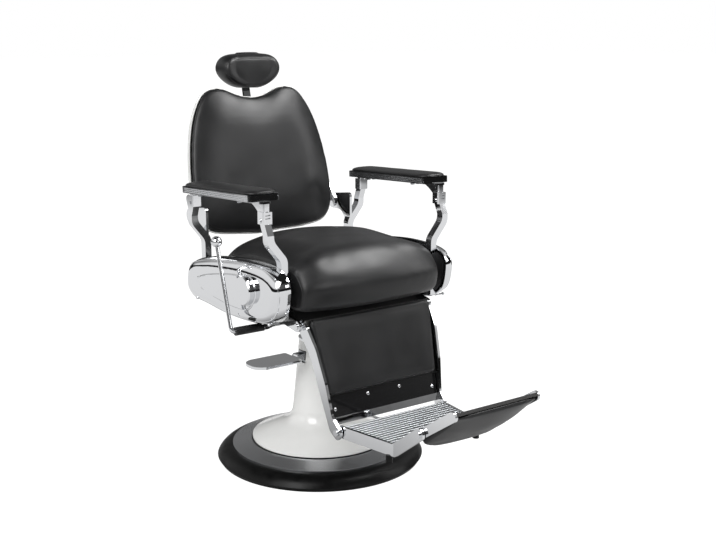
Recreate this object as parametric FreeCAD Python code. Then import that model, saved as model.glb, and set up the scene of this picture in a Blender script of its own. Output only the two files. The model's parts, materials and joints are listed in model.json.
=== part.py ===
import FreeCAD, Part
import os
from math import atan2, cos, degrees, pi, radians, sin, tan

os.makedirs("parts", exist_ok=True)

# Reclining hydraulic salon chair, millimetres, +Z up, front towards -Y, sitter's right at -X.
# The origin is on the swivel axis at the floor.

# Clearances shared by all pieces
overrun = 5.0            # every cut goes this far past the face it opens
soft_gap = 0.3           # a cushion or a nested panel stays this far from its neighbours
running_fit = 0.05       # radial clearance of a pin or a shaft that turns
side_play = 0.5          # sideways clearance between plates that turn on one pin
dome_steps = 5           # outlines that a bulged skin is drawn through
same_place_share = 1e-6  # points nearer than this share of the base's radius are one

# Height of the seat frame with the lift down, which the pedestal and the rest follow
mount_top = 482.0
mount_thickness = 12.0
hub_length = 90.0
hub_lift_gap = 6.0
mount_floor = mount_top - mount_thickness
hub_floor = mount_floor - hub_length
rod_shoulder = hub_floor - hub_lift_gap

# Pedestal
base_radius = 310.0
ring_height = 42.0
ring_width = 52.0
ring_top_set_back = 44.0
ring_foot_inset = 8.0
ring_edge_height = 12.0
ring_bulge = 7.0
plate_thickness = 18.0
ring_inner_radius = base_radius - ring_width
ring_top_radius = base_radius - ring_top_set_back
cover_overlap = 6.0
cover_radius = ring_inner_radius + cover_overlap
cover_sheet = 3.0
cover_rise = 18.0
cover_edge_height = 5.0
cover_slope_run = 55.0
cover_flat_radius = cover_radius - cover_slope_run
cover_hole_radius = 110.0
gasket_set_back = 2.0
gasket_radius = cover_flat_radius - gasket_set_back
gasket_width = 10.0
gasket_thickness = 3.0
shroud_flange_set_back = 3.0
shroud_flange_radius = gasket_radius - shroud_flange_set_back
shroud_flange_height = 6.0
shroud_foot_radius = 84.0
shroud_foot_rise = 59.0
shroud_top_radius = 61.0
shroud_wall = 3.0
rod_stand_out = 10.0
shroud_height = rod_shoulder - rod_stand_out
shroud_bend_radius = 55.0
cap_overhang = 2.0
cap_thickness = 6.0
cap_skirt = 8.0
cap_skirt_wall = 4.0
housing_radius = 42.0
housing_wall = 12.0
housing_top_gap = 10.0
housing_flange_radius = 75.0
housing_flange_thickness = 12.0
housing_floor = 10.0
pump_bolt_radius = 5.0
pump_bolt_circle = 60.0
pump_bolt_head = 7.0
pump_bolt_count = 6

# Foot pedal of the pump
pedal_drop = 46.0
pedal_height = shroud_height - pedal_drop
pedal_pivot_out = 80.0
pedal_pin_radius = 5.0
pedal_ear_radius = 9.0
pedal_ear_thickness = 6.0
pedal_hub_width = 20.0
pedal_bracket_height = 30.0
pedal_window_gap = 3.0
pedal_reach = 245.0
pedal_width = 94.0
pedal_thickness = 8.0
pedal_tip_radius = 38.0

# Lift column
rod_radius = 28.0
rod_bottom = 60.0
spigot_radius = 26.0
spigot_length = 56.0
spigot_top = rod_shoulder + spigot_length
washer_thickness = 4.0
washer_radius = 24.0
hub_radius = 45.0

# Seat frame
mount_width = 280.0
mount_depth = 300.0
mount_corner = 20.0
rail_height = 30.0
rail_width = 40.0
rail_wall = 3.0
rail_spread = 130.0
seat_width = 480.0
post_gap = 9.0
stem_inner = seat_width / 2 + post_gap
stem_width = 20.0
stem_depth = 24.0
hanger_inset = 26.0
hanger_inner = stem_inner - hanger_inset
hanger_thickness = 8.0
hanger_radius = 15.0
side_plate_thickness = 6.0
side_plate_inset = 11.0
board_thickness = 12.0
seat_board_inset = 33.0
seat_nose_overhang = 101.0
seat_lip_drop = 34.0

# Length along the side, which the posts and the seat follow
panel_length = 514.0
panel_centre_y = 0.0
front_post_inset = 54.0
rear_post_inset = 50.0
front_post_y = panel_centre_y - panel_length / 2 + front_post_inset
rear_post_y = panel_centre_y + panel_length / 2 - rear_post_inset

# Seat cushion
seat_rise = 162.0
seat_height = mount_top + seat_rise
rear_post_gap = 19.0
seat_back = rear_post_y - rear_post_gap
seat_front = 285.0
seat_nose_rise = 110.0
seat_nose_height = mount_top + seat_nose_rise
seat_nose_floor_set_back = 18.0
seat_shoulder_set_back = 52.0
seat_crown = 37.0
seat_slope_share = 0.3
seat_steps = 10
seat_front_crown = 30.0
seat_edge_draw = 9.0
seat_edge_power = 12
seat_corner = 24.0
seat_rear_corner = 88.0
seat_rear_drop = 26.0

# Chrome side panels
panel_height = 180.0
panel_rise = 78.0
panel_centre_z = mount_top + panel_rise
panel_bulge = 42.0
panel_draw = 34.0
panel_wall = 3.0
panel_overlap = 5.5
leaf_rise = 3.0
leaf_length = 300.0
leaf_height = 92.0
leaf_set_back = 12.0
boss_radius = 41.0
boss_forward = 107.0
boss_y = panel_centre_y - boss_forward
boss_rise = 13.0
boss_z = panel_centre_z + boss_rise
boss_stand_out = 55.0
boss_face = stem_inner + stem_width + side_plate_thickness + boss_stand_out
boss_edge = 3.0
boss_stud_radius = 8.0
panel_screw_radius = 5.0
panel_shank_radius = 2.5
panel_screw_stand_out = 34.0
panel_screw_face = boss_face - boss_stand_out + panel_screw_stand_out
panel_screw_y_shares = [-0.40, -0.11, 0.36]
panel_screw_drop_share = 0.36

# Arms
arm_width = 95.0
arm_front_set_back = 4.0
arm_back_overhang = 2.0
arm_rise = 334.6
arm_floor = mount_top + arm_rise
arm_tilt = 2.5
tray_height = 18.0
tray_corner = 14.0
flute_radius = 1.6
flute_count = 3
pad_foot = 4.0
pad_rise = 9.0
pad_overhang = 2.0
pad_foot_inset = 2.0
pad_draw = 34.0
pad_corner = 40.0
post_swing = 52.0
post_upper_x = stem_inner + post_swing
arm_inset = 5.5
arm_centre = post_upper_x - arm_inset
post_bend_rise = 182.0
post_bend_low = mount_top + post_bend_rise
post_bend_length = 52.0
post_bend_high = post_bend_low + post_bend_length
post_bend_radius = 34.0
post_foot_rise = 18.0
post_foot = mount_top + post_foot_rise
front_post_lean = 16.0
front_post_head_y = front_post_y + front_post_lean
arm_front = -front_post_head_y - arm_front_set_back
rear_post_lean = 13.0
rear_post_head_y = rear_post_y - rear_post_lean
arm_back = rear_post_head_y + arm_back_overhang
post_head_length = 51.6
post_head_low = arm_floor - post_head_length
post_head_width = 31.0
post_head_depth = 30.0
post_neck_width = 20.0
post_neck_length = 13.0
post_ear_radius = 6.5
post_ear_rise = 9.0
post_ear_stand_out = 3.0
post_slot_height = 4.0
post_slot_depth = 5.0
post_slot_count = 2
post_slot_pitch = 8.0
flange_width = 34.0
flange_thickness = 6.0
flange_overhang = 14.0
front_flange_reach = 125.0
front_flange_back = front_post_head_y + front_flange_reach
rear_flange_reach = 66.0
rear_flange_front = rear_post_head_y - rear_flange_reach
fan_thickness = 12.0
fan_run_share = 0.32
fan_rise_share = 0.66
arm_bolt_head_radius = 7.0
arm_bolt_head = 5.0
post_bolt_head_radius = 9.0
post_bolt_head = 6.0
post_bolt_pitch = 40.0

# Backrest, with its own tilted frame at the foot of the cushion's front face
back_gap = 56.0
back_foot_y = rear_post_y + back_gap
back_rise = 218.0
back_foot_z = mount_top + back_rise
back_tilt = 13.0
back_stand_out = 1.5
back_half_width = stem_inner + back_stand_out
back_height = 455.0
back_middle_share = 0.39
back_crown = 22.0
back_edge_draw = 4.0
back_crown_draw = 95.0
back_cushion_depth = 21.7
back_rim = 22.0
back_board_thickness = 10.0
shell_depth = 44.0
shell_wall = 4.0
shell_draw = 70.0
back_pivot_set_back = 27.0
back_pivot_y = back_foot_y + back_pivot_set_back
back_pivot_rise = 20.0
back_pivot_z = back_foot_z + back_pivot_rise
back_pin_radius = 8.0
back_pin_head_radius = 13.0
back_pin_head = 5.0
web_thickness = 8.0
web_radius = 24.0
hinge_gap = 1.0
hinge_plate_inner = back_half_width + hinge_gap
hinge_plate_thickness = 4.5
web_inner = hinge_plate_inner + hinge_plate_thickness + side_play
hinge_spacer_radius = 8.0
hinge_spacer_heights = [32.0, 76.0]
hinge_plate_width = 40.0
hinge_spacer_depth = 36.0

# Headrest
bar_width = 24.0
bar_thickness = 8.0
bar_depth = 42.0
bar_bottom_drop = 265.0
bar_bottom = back_height - bar_bottom_drop
bar_top_drop = 3.0
bar_top = back_height - bar_top_drop
bar_slide_gap = 0.15
socket_bottom_drop = 275.0
socket_bottom = back_height - socket_bottom_drop
socket_top_drop = 135.0
socket_top = back_height - socket_top_drop
socket_wall = 5.0
shell_slot_gap = 2.0
headrest_width = 218.0
headrest_depth = 86.0
headrest_reach = 67.6
headrest_rise = 63.0
headrest_height = 114.0
headrest_edge = 24.0
headrest_knuckle_radius = 9.0
headrest_pin_radius = 5.0
headrest_ear_thickness = 5.0
headrest_notch_width = 44.0
headrest_notch_front = 34.0
headrest_notch_top = 24.0
headrest_cap_thickness = 5.0

# Recline lever, on the sitter's right
lever_y = -66.0
lever_drop = 32.0
lever_z = mount_top - lever_drop
lever_gap = 10.0
lever_plane = boss_face + lever_gap
lever_rod_radius = 6.0
lever_shaft_radius = 5.5
lever_shaft_stand_out = 10.0
lever_sleeve_radius = 12.0
lever_sleeve_length = 92.0
lever_lean = 70.0
lever_top_y = lever_y + lever_lean
lever_rise = 243.0
lever_top_z = lever_z + lever_rise
lever_knob_radius = 15.5
lever_lug_thickness = 12.0
lever_lug_half = 20.0
lever_lug_drop = 14.0
lever_lug_radius = 10.0
mount_lug_inset = 12.0
mount_lug_x = mount_width / 2 - mount_lug_inset

# Recline lock
lock_x = 92.0
lock_radius = 12.0
lock_front = -40.0
lock_length = 150.0
lock_saddle = 10.0
lock_rod_radius = 5.0
lock_rod_inside = 80.0
lock_slot_width = 12.0
lock_slot_height = 24.0
lock_eye_wall = 5.0
lock_eye_thickness = 8.0
crank_length = 50.0
crank_angle = 27.0
crank_pin_radius = 4.0
crank_thickness = 6.0
crank_width = 18.0

# Legrest
leg_reach = 95.0
leg_pivot_y = -rail_spread - leg_reach
leg_pivot_z = mount_top
leg_bar_thickness = 8.0
leg_hanger_gap = 5.0
leg_top_x = hanger_inner - leg_hanger_gap - leg_bar_thickness / 2
leg_taper = 28.0
leg_bottom_x = leg_top_x - leg_taper
leg_shaft_radius = 8.0
leg_tube_radius = 12.0
leg_tube_gap = 1.5
leg_tube_half = leg_top_x - leg_bar_thickness / 2 - leg_tube_gap
leg_shaft_stand_out = 3.0
leg_shaft_half = hanger_inner + hanger_thickness + leg_shaft_stand_out
leg_run = 128.0
foot_pivot_y = leg_pivot_y - leg_run
leg_drop = 273.0
foot_pivot_z = leg_pivot_z - leg_drop
calf_set_back = 31.0
calf_foot_y = foot_pivot_y + calf_set_back
calf_rise = 32.0
calf_foot_z = foot_pivot_z + calf_rise
calf_tilt = 16.5
calf_length = 272.0
calf_board_thickness = 10.0
leg_end_radius = 18.0
calf_cushion_thickness = 18.0
calf_edge_inset = 6.0
calf_draw = 5.0
kick_height = 58.0
kick_thickness = 3.0
kick_gap = 1.0
kick_screw_radius = 5.0
kick_screw_head = 2.5
kick_screw_x_shares = [-0.91, -0.29, 0.29, 0.91]
kick_screw_row_shares = [0.36, 0.74, 0.74, 0.36]
crossbar_height = 20.0
crossbar_front = 10.0

# Footrest
foot_arm_thickness = 8.0
foot_arm_height = 33.0
foot_arm_drop = 15.0
foot_arm_gap = 3.0
foot_arm_rear_x = leg_bottom_x - leg_bar_thickness / 2 - foot_arm_gap - foot_arm_thickness / 2
foot_arm_taper = 27.0
foot_arm_front_x = foot_arm_rear_x - foot_arm_taper
foot_arm_run = 195.0
foot_bend_y = foot_pivot_y - foot_arm_run
flip_run = 100.0
flip_pivot_y = foot_bend_y - flip_run
flip_rise = 74.0
flip_pivot_z = foot_pivot_z + flip_rise
foot_end_radius = 16.0
foot_plate_gap = 5.0
foot_plate_rear = foot_pivot_y - foot_plate_gap
foot_plate_set_back = 3.0
foot_plate_front = foot_bend_y + foot_plate_set_back
foot_plate_rise = 4.0
foot_plate_floor = foot_pivot_z + foot_plate_rise
foot_plate_base = 5.0
rib_count = 14
rib_height = 8.0
rib_share = 0.55
bumper_radius = 9.0
bumper_height = 21.0
bumper_set_back = 18.0
bumper_y = foot_bend_y + bumper_set_back
foot_pin_radius = 5.0
foot_pin_head_radius = 9.0
foot_pin_head = 5.0

# Flip-over pad
pad_arm_thickness = 8.0
pad_arm_gap = 1.5
pad_arm_inner = foot_arm_front_x - foot_arm_thickness / 2 - pad_arm_gap - pad_arm_thickness
pad_arm_width = 26.0
pad_arm_length = 148.0
pad_slope = 33.5
pad_half_width = pad_arm_inner - side_play
pad_board_thickness = 9.0
pad_board_top = 5.0
pad_near = -30.0
pad_far = 150.0
pad_near_depth = 30.0
pad_far_depth = 10.0
pad_edge_draw = 8.0
pad_sag = 8.0
pad_edge_power = 8


def vec(x, y, z):
    return FreeCAD.Vector(x, y, z)


x_axis = vec(1, 0, 0)
y_axis = vec(0, 1, 0)
z_axis = vec(0, 0, 1)
centre_plane = vec(1, 0, 0)
origin = vec(0, 0, 0)


def bar_along(axis, radius, start, length):
    return Part.makeCylinder(radius, length, start, axis)


def block(x0, x1, y0, y1, z0, z1):
    return Part.makeBox(x1 - x0, y1 - y0, z1 - z0, vec(x0, y0, z0))


def corner_arc(before, corner, after, radius):
    """Arc that rounds one corner, with the two points where it meets the sides."""
    into = (before - corner).normalize()
    out = (after - corner).normalize()
    half = into.getAngle(out) / 2
    reach = radius / tan(half)
    start = corner + into * reach
    end = corner + out * reach
    middle = (into + out).normalize()
    top = corner + middle * (radius / sin(half) - radius)
    return start, top, end


def rounded_wire(points, radii):
    """Closed wire through the points, every corner with a radius rounded by a tangent arc."""
    if not isinstance(radii, (list, tuple)):
        radii = [radii] * len(points)
    edges = []
    ends = []
    for i, corner in enumerate(points):
        if radii[i] > 0:
            start, top, end = corner_arc(points[i - 1], corner, points[(i + 1) % len(points)], radii[i])
            ends.append((start, end, Part.Arc(start, top, end).toShape()))
        else:
            ends.append((corner, corner, None))
    for i, (start, end, arc) in enumerate(ends):
        if arc is not None:
            edges.append(arc)
        following = ends[(i + 1) % len(ends)][0]
        if (following - end).Length > same_place_share * base_radius:
            edges.append(Part.makeLine(end, following))
    return Part.Wire(edges)


def smooth_wire(points):
    """Closed smooth curve through the points."""
    curve = Part.BSplineCurve()
    curve.interpolate(Points=points, PeriodicFlag=True)
    return Part.Wire(curve.toShape())


def dome(wire_at, start, depth, first_inset, draw, before=None):
    """Solid from an outline at the start to a smaller one at the full depth, rounded like a quarter ellipse."""
    wires = [before] if before is not None else []
    for i in range(dome_steps + 1):
        angle = pi / 2 * i / dome_steps
        wires.append(wire_at(start + depth * sin(angle), first_inset + draw * (1 - cos(angle))))
    return Part.makeLoft(wires, True, False)


def prism_x(points, x0, x1, radii=0):
    """Plate between two X planes, its outline given as (y, z) points."""
    wire = rounded_wire([vec(x0, y, z) for y, z in points], radii)
    return Part.Face(wire).extrude(vec(x1 - x0, 0, 0))


def prism_y(points, y0, y1, radii=0):
    """Plate between two Y planes, its outline given as (x, z) points."""
    wire = rounded_wire([vec(x, y0, z) for x, z in points], radii)
    return Part.Face(wire).extrude(vec(0, y1 - y0, 0))


def prism_z(points, z0, z1, radii=0):
    """Plate between two Z planes, its outline given as (x, y) points."""
    wire = rounded_wire([vec(x, y, z0) for x, y in points], radii)
    return Part.Face(wire).extrude(vec(0, 0, z1 - z0))


def turned(points):
    """Solid of revolution about Z from a closed outline of (radius, z) points."""
    wire = Part.makePolygon([vec(r, 0, z) for r, z in points + points[:1]])
    return Part.Face(wire).revolve(origin, z_axis, 360)


def rectangle(half_x, y0, y1):
    return [(-half_x, y0), (half_x, y0), (half_x, y1), (-half_x, y1)]


def mirrored(shape):
    return shape.mirror(origin, centre_plane)


def pair(shape):
    return [shape, mirrored(shape)]


def link_outline(first, first_radius, second, second_radius):
    """Prism outline points of a straight link's body between two round ends, in (y, z)."""
    angle = atan2(second[1] - first[1], second[0] - first[0])
    side = (-sin(angle), cos(angle))
    return [(first[0] + side[0] * first_radius, first[1] + side[1] * first_radius),
            (second[0] + side[0] * second_radius, second[1] + side[1] * second_radius),
            (second[0] - side[0] * second_radius, second[1] - side[1] * second_radius),
            (first[0] - side[0] * first_radius, first[1] - side[1] * first_radius)]


def link(first, first_radius, second, second_radius, x0, x1):
    """Flat link with two round ends, between two X planes."""
    body = prism_x(link_outline(first, first_radius, second, second_radius), x0, x1)
    near = bar_along(x_axis, first_radius, vec(x0, first[0], first[1]), x1 - x0)
    far = bar_along(x_axis, second_radius, vec(x0, second[0], second[1]), x1 - x0)
    return body.fuse([near, far]).removeSplitter()


def hole_x(shape, radius, y, z):
    """The shape with a hole along X right through it."""
    box = shape.BoundBox
    length = box.XLength + 2 * overrun
    return shape.cut(bar_along(x_axis, radius, vec(box.XMin - overrun, y, z), length))


# Pedestal

plate_top = plate_thickness
cover_top = ring_height + cover_rise
shroud_floor = cover_top + gasket_thickness
shroud_foot_height = shroud_floor + shroud_foot_rise
housing_top = shroud_height - housing_top_gap


def edge_ring():
    """Rubber edge ring around the floor plate, its outer side slightly bulged."""
    edge = vec(base_radius, 0, ring_edge_height)
    top = vec(ring_top_radius, 0, ring_height)
    along = top - edge
    outward = vec(along.z, 0, -along.x).normalize()
    bulge = edge + along / 2 + outward * ring_bulge
    corners = [top, vec(ring_inner_radius, 0, ring_height), vec(ring_inner_radius, 0, 0),
               vec(base_radius - ring_foot_inset, 0, 0), edge]
    wire = Part.Wire([Part.Arc(edge, bulge, top).toShape(), Part.makePolygon(corners)])
    return Part.Face(wire).revolve(origin, z_axis, 360)


def base_plate():
    return bar_along(z_axis, ring_inner_radius - soft_gap, origin, plate_thickness)


def base_cover():
    """Chrome dish that covers the plate, its rim on the rubber ring."""
    edge_top = ring_height + cover_edge_height
    inner_radius = cover_radius - cover_sheet
    return turned([(inner_radius, ring_height), (cover_radius, ring_height), (cover_radius, edge_top),
                   (cover_flat_radius, cover_top), (cover_hole_radius, cover_top),
                   (cover_hole_radius, cover_top - cover_sheet), (cover_flat_radius, cover_top - cover_sheet),
                   (inner_radius, edge_top - cover_sheet)])


def shroud_gasket():
    ring = bar_along(z_axis, gasket_radius, vec(0, 0, cover_top), gasket_thickness)
    hole_start = vec(0, 0, cover_top - overrun)
    return ring.cut(bar_along(z_axis, gasket_radius - gasket_width, hole_start, gasket_thickness + 2 * overrun))


def shroud_profile(inset):
    """Trumpet outline in the XZ plane, moved inwards by the inset."""
    flange = shroud_flange_radius
    foot_edge = shroud_floor + shroud_flange_height
    points = [vec(flange, 0, shroud_floor), vec(flange, 0, foot_edge - inset),
              vec(shroud_foot_radius - inset, 0, shroud_foot_height - inset),
              vec(shroud_top_radius - inset, 0, shroud_height)]
    if inset > 0:
        points[0] = vec(flange - inset, 0, shroud_floor)
        points[1] = vec(flange - inset, 0, foot_edge - inset)
    points += [vec(0, 0, shroud_height), vec(0, 0, shroud_floor)]
    return rounded_wire(points, [0, 0, shroud_bend_radius + inset, 0, 0, 0])


def column_shroud():
    """White bell-shaped column cover, a thin shell with a window for the pedal."""
    outer = Part.Face(shroud_profile(0)).revolve(origin, z_axis, 360)
    inner = Part.Face(shroud_profile(shroud_wall)).revolve(origin, z_axis, 360)
    half = pedal_hub_width / 2 + pedal_ear_thickness + pedal_window_gap
    rise = pedal_bracket_height / 2 + pedal_window_gap
    window = block(-pedal_pivot_out, 0, -half, half, pedal_height - rise, pedal_height + rise)
    return outer.cut(inner).cut(window)


def column_cap():
    """Chrome ring on the shroud's mouth, with a skirt inside it."""
    hole = rod_radius + side_play
    skirt_radius = shroud_top_radius - shroud_wall - side_play
    return turned([(hole, shroud_height), (skirt_radius - cap_skirt_wall, shroud_height),
                   (skirt_radius - cap_skirt_wall, shroud_height - cap_skirt),
                   (skirt_radius, shroud_height - cap_skirt), (skirt_radius, shroud_height),
                   (shroud_top_radius + cap_overhang, shroud_height),
                   (shroud_top_radius + cap_overhang, shroud_height + cap_thickness),
                   (hole, shroud_height + cap_thickness)])


def pump_housing():
    """Hydraulic cylinder on the floor plate, with a guide for the rod at its top."""
    bore = housing_radius - housing_wall
    flange_top = plate_top + housing_flange_thickness
    guide = rod_radius + running_fit
    return turned([(0, plate_top), (housing_flange_radius, plate_top), (housing_flange_radius, flange_top),
                   (housing_radius, flange_top), (housing_radius, housing_top), (guide, housing_top),
                   (guide, housing_top - housing_wall), (bore, housing_top - housing_wall),
                   (bore, flange_top + housing_floor), (0, flange_top + housing_floor)])


def pump_bolts():
    flange_top = plate_top + housing_flange_thickness
    bolts = []
    for i in range(pump_bolt_count):
        angle = 2 * pi * i / pump_bolt_count
        x = pump_bolt_circle * cos(angle)
        y = pump_bolt_circle * sin(angle)
        bolts.append(bar_along(z_axis, pump_bolt_radius, vec(x, y, flange_top), pump_bolt_head))
    return bolts


def pedal_bracket():
    """Fork that carries the pedal's pin, bolted to the pump and passing through the shroud."""
    half = pedal_hub_width / 2
    ear = half + pedal_ear_thickness
    rise = pedal_bracket_height / 2
    fork_floor = shroud_top_radius + cap_overhang
    root = block(-fork_floor, 0, -ear, ear, pedal_height - rise, pedal_height + rise)
    solids = []
    for y0 in (-ear, half):
        lug = block(-pedal_pivot_out, -fork_floor + overrun, y0, y0 + pedal_ear_thickness,
                    pedal_height - pedal_ear_radius, pedal_height + pedal_ear_radius)
        eye = bar_along(y_axis, pedal_ear_radius, vec(-pedal_pivot_out, y0, pedal_height), pedal_ear_thickness)
        solids += [lug, eye]
    pin = bar_along(y_axis, pedal_pin_radius, vec(-pedal_pivot_out, -ear, pedal_height), 2 * ear)
    bracket = root.fuse(solids + [pin]).removeSplitter()
    pump = bar_along(z_axis, housing_radius, vec(0, 0, plate_top), housing_top)
    return bracket.cut(pump)


def pump_pedal():
    """Flat cast foot pedal with a rounded tip."""
    half = pedal_width / 2
    root_x = -(pedal_pivot_out + pedal_ear_radius + pedal_window_gap)
    floor = pedal_height - pedal_thickness / 2
    outline = [(root_x, -half), (root_x, half), (-pedal_reach, half), (-pedal_reach, -half)]
    root_radius = pedal_thickness
    radii = [root_radius, root_radius, pedal_tip_radius, pedal_tip_radius]
    plate = prism_z(outline, floor, floor + pedal_thickness, radii)
    hub_half = pedal_hub_width / 2 - side_play
    hub = bar_along(y_axis, pedal_ear_radius, vec(-pedal_pivot_out, -hub_half, pedal_height), 2 * hub_half)
    neck = block(root_x - overrun, -pedal_pivot_out, -hub_half, hub_half, floor, floor + pedal_thickness)
    bore_start = vec(-pedal_pivot_out, -half, pedal_height)
    bore = bar_along(y_axis, pedal_pin_radius + running_fit, bore_start, pedal_width)
    return plate.fuse([hub, neck]).cut(bore).removeSplitter()


# Lift column

def piston_rod():
    rod = bar_along(z_axis, rod_radius, vec(0, 0, rod_bottom), rod_shoulder - rod_bottom)
    spigot = bar_along(z_axis, spigot_radius, vec(0, 0, rod_shoulder), spigot_top - rod_shoulder)
    return rod.fuse(spigot).removeSplitter()


def swivel_washer():
    return bar_along(z_axis, washer_radius, vec(0, 0, spigot_top), washer_thickness)


# Seat frame

rail_top = mount_top + rail_height
board_top = rail_top + board_thickness
side_plate_inner = stem_inner + stem_width
side_plate_outer = side_plate_inner + side_plate_thickness


def seat_mount():
    """Swivel hub with a square flange under the rails and a lug for the lever's shaft."""
    hub = bar_along(z_axis, hub_radius, vec(0, 0, hub_floor), mount_floor - hub_floor)
    outline = rectangle(mount_width / 2, -mount_depth / 2, mount_depth / 2)
    flange = prism_z(outline, mount_floor, mount_top, mount_corner)
    x0 = -(mount_lug_x + lever_lug_thickness / 2)
    lug = block(x0, x0 + lever_lug_thickness, lever_y - lever_lug_half, lever_y + lever_lug_half,
                lever_z - lever_lug_drop, mount_floor)
    lug = hole_x(lug, lever_shaft_radius + running_fit, lever_y, lever_z)
    bore_top = spigot_top + washer_thickness
    bore = bar_along(z_axis, spigot_radius + running_fit, vec(0, 0, hub_floor - overrun),
                     bore_top - hub_floor + overrun)
    return hub.fuse([flange, lug]).cut(bore).removeSplitter()


def frame_rails():
    """Two box-section rails across the seat, the front one with an arm for the lever's shaft."""
    rails = []
    for centre in (-rail_spread, rail_spread):
        y0 = centre - rail_width / 2
        outer = block(-side_plate_inner, side_plate_inner, y0, y0 + rail_width, mount_top, rail_top)
        inner = block(-side_plate_inner - overrun, side_plate_inner + overrun, y0 + rail_wall,
                      y0 + rail_width - rail_wall, mount_top + rail_wall, rail_top - rail_wall)
        rails.append(outer.cut(inner))
    arm = link((lever_y, lever_z), lever_lug_radius, (-rail_spread, mount_top), lever_lug_radius,
               -hanger_inner - hanger_thickness, -hanger_inner)
    inside = block(-side_plate_inner, side_plate_inner, -rail_spread - rail_width / 2,
                   -rail_spread + rail_width / 2, mount_top + rail_wall, rail_top)
    front = rails[0].fuse(arm.cut(inside)).removeSplitter()
    return [hole_x(front, lever_shaft_radius + running_fit, lever_y, lever_z), rails[1]]


panel_shares = [(0.500, -0.110), (0.481, -0.333), (0.413, -0.417), (0.288, -0.444), (0.155, -0.478),
                (-0.015, -0.500), (-0.186, -0.483), (-0.318, -0.428), (-0.419, -0.333), (-0.475, -0.183),
                (-0.500, 0.056), (-0.496, 0.289), (-0.460, 0.394), (-0.394, 0.467), (-0.299, 0.494),
                (-0.129, 0.489), (0.042, 0.444), (0.212, 0.378), (0.345, 0.300), (0.439, 0.206), (0.487, 0.067)]


def panel_wire(x, inset):
    """Egg-shaped outline of the side panel at one X plane, moved inwards by the inset."""
    along = panel_length - 2 * inset
    up = panel_height - 2 * inset
    return smooth_wire([vec(x, panel_centre_y + along * y_share, panel_centre_z + up * z_share)
                        for y_share, z_share in panel_shares])


def side_frames():
    """Steel plates behind the chrome panels."""
    outline = Part.Face(panel_wire(side_plate_inner, side_plate_inset))
    return pair(outline.extrude(vec(side_plate_thickness, 0, 0)))


panel_inner_x = side_plate_outer - panel_overlap
leaf_shares = [(0.51, -0.04), (0.46, -0.24), (0.397, -0.326), (0.187, -0.424), (0.02, -0.478), (-0.20, -0.50),
               (-0.377, -0.446), (-0.48, -0.217), (-0.507, 0.109), (-0.473, 0.38), (-0.407, 0.457),
               (-0.30, 0.478), (-0.12, 0.435), (0.157, 0.293), (0.35, 0.163), (0.46, 0.054)]


def panel_body():
    """Solid bulged form of one panel on the sitter's left, with the raised leaf that leads to the boss."""
    plain = dome(panel_wire, panel_inner_x, panel_bulge, 0, panel_draw)
    fuller = dome(panel_wire, panel_inner_x, panel_bulge + leaf_rise, 0, panel_draw)
    leaf_y = panel_centre_y + leaf_set_back
    leaf = smooth_wire([vec(panel_inner_x, leaf_y + leaf_length * y_share, panel_centre_z + leaf_height * z_share)
                        for y_share, z_share in leaf_shares])
    leaf = Part.Face(leaf).extrude(vec(boss_face - panel_inner_x, 0, 0))
    return plain.fuse(fuller.common(leaf))


panel_form = panel_body()
screw_places = [(panel_centre_y + panel_length * share, panel_centre_z - panel_height * panel_screw_drop_share)
                for share in panel_screw_y_shares]


def side_panel():
    """Chrome shell on the sitter's left, drilled for its screws and for the boss."""
    shell = panel_form.cut(dome(panel_wire, panel_inner_x - overrun, panel_bulge + overrun - panel_wall,
                                panel_wall, panel_draw))
    shell = hole_x(shell, boss_stud_radius + running_fit, boss_y, boss_z)
    for y, z in screw_places:
        shell = hole_x(shell, panel_shank_radius + running_fit, y, z)
    return shell


def on_panel(radius, shank_radius, y, z, face):
    """Round head along X that stands on the panel's skin, with a shank through to the side plate."""
    head = bar_along(x_axis, radius, vec(side_plate_outer, y, z), face - side_plate_outer).cut(panel_form)
    shank = bar_along(x_axis, shank_radius, vec(side_plate_outer, y, z), face - side_plate_outer)
    return head.fuse(shank).removeSplitter()


def pivot_bosses():
    boss = on_panel(boss_radius, boss_stud_radius, boss_y, boss_z, boss_face)
    face = bar_along(x_axis, boss_radius, vec(boss_face - boss_edge, boss_y, boss_z), 2 * boss_edge)
    cone_start = vec(boss_face - boss_edge, boss_y, boss_z)
    cone = Part.makeCone(boss_radius, boss_radius - boss_edge, boss_edge, cone_start, x_axis)
    return pair(boss.cut(face.cut(cone)))


def panel_screws():
    screws = []
    for y, z in screw_places:
        screws += pair(on_panel(panel_screw_radius, panel_shank_radius, y, z, panel_screw_face))
    return screws


def seat_board():
    """Black board under the seat cushion, with a lip down its front edge."""
    half = seat_width / 2 - seat_board_inset
    front = seat_nose_overhang - seat_front
    board = prism_z(rectangle(half, front, seat_back), rail_top, board_top, seat_corner)
    lip = block(seat_corner - half, half - seat_corner, front, front + board_thickness, rail_top - seat_lip_drop,
                board_top)
    return board.fuse(lip).removeSplitter()


def seat_section(share):
    """Side profile of the seat at one share of its half width, fuller towards the middle."""
    edge = abs(share) ** seat_edge_power
    rise = seat_crown * (1 - seat_slope_share * share * share - (1 - seat_slope_share) * edge)
    push = seat_front_crown * (1 - share * share)
    draw = seat_edge_draw * edge
    floor = board_top + soft_gap
    x = share * seat_width / 2
    top = seat_height + rise - draw
    front = -(seat_front + push - draw)
    rear_top = top - seat_corner / 2 - seat_rear_drop * share * share
    points = [vec(x, seat_back - draw, floor), vec(x, seat_back - draw, rear_top),
              vec(x, 0, top + rise / 4), vec(x, front + seat_shoulder_set_back, top),
              vec(x, front, seat_nose_height), vec(x, front + seat_nose_floor_set_back, floor)]
    rear = seat_corner + (seat_rear_corner - seat_corner) * share * share
    radii = [0, rear, seat_front, 2 * seat_corner, 2 * seat_corner, seat_corner / 2]
    return rounded_wire(points, radii)


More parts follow.
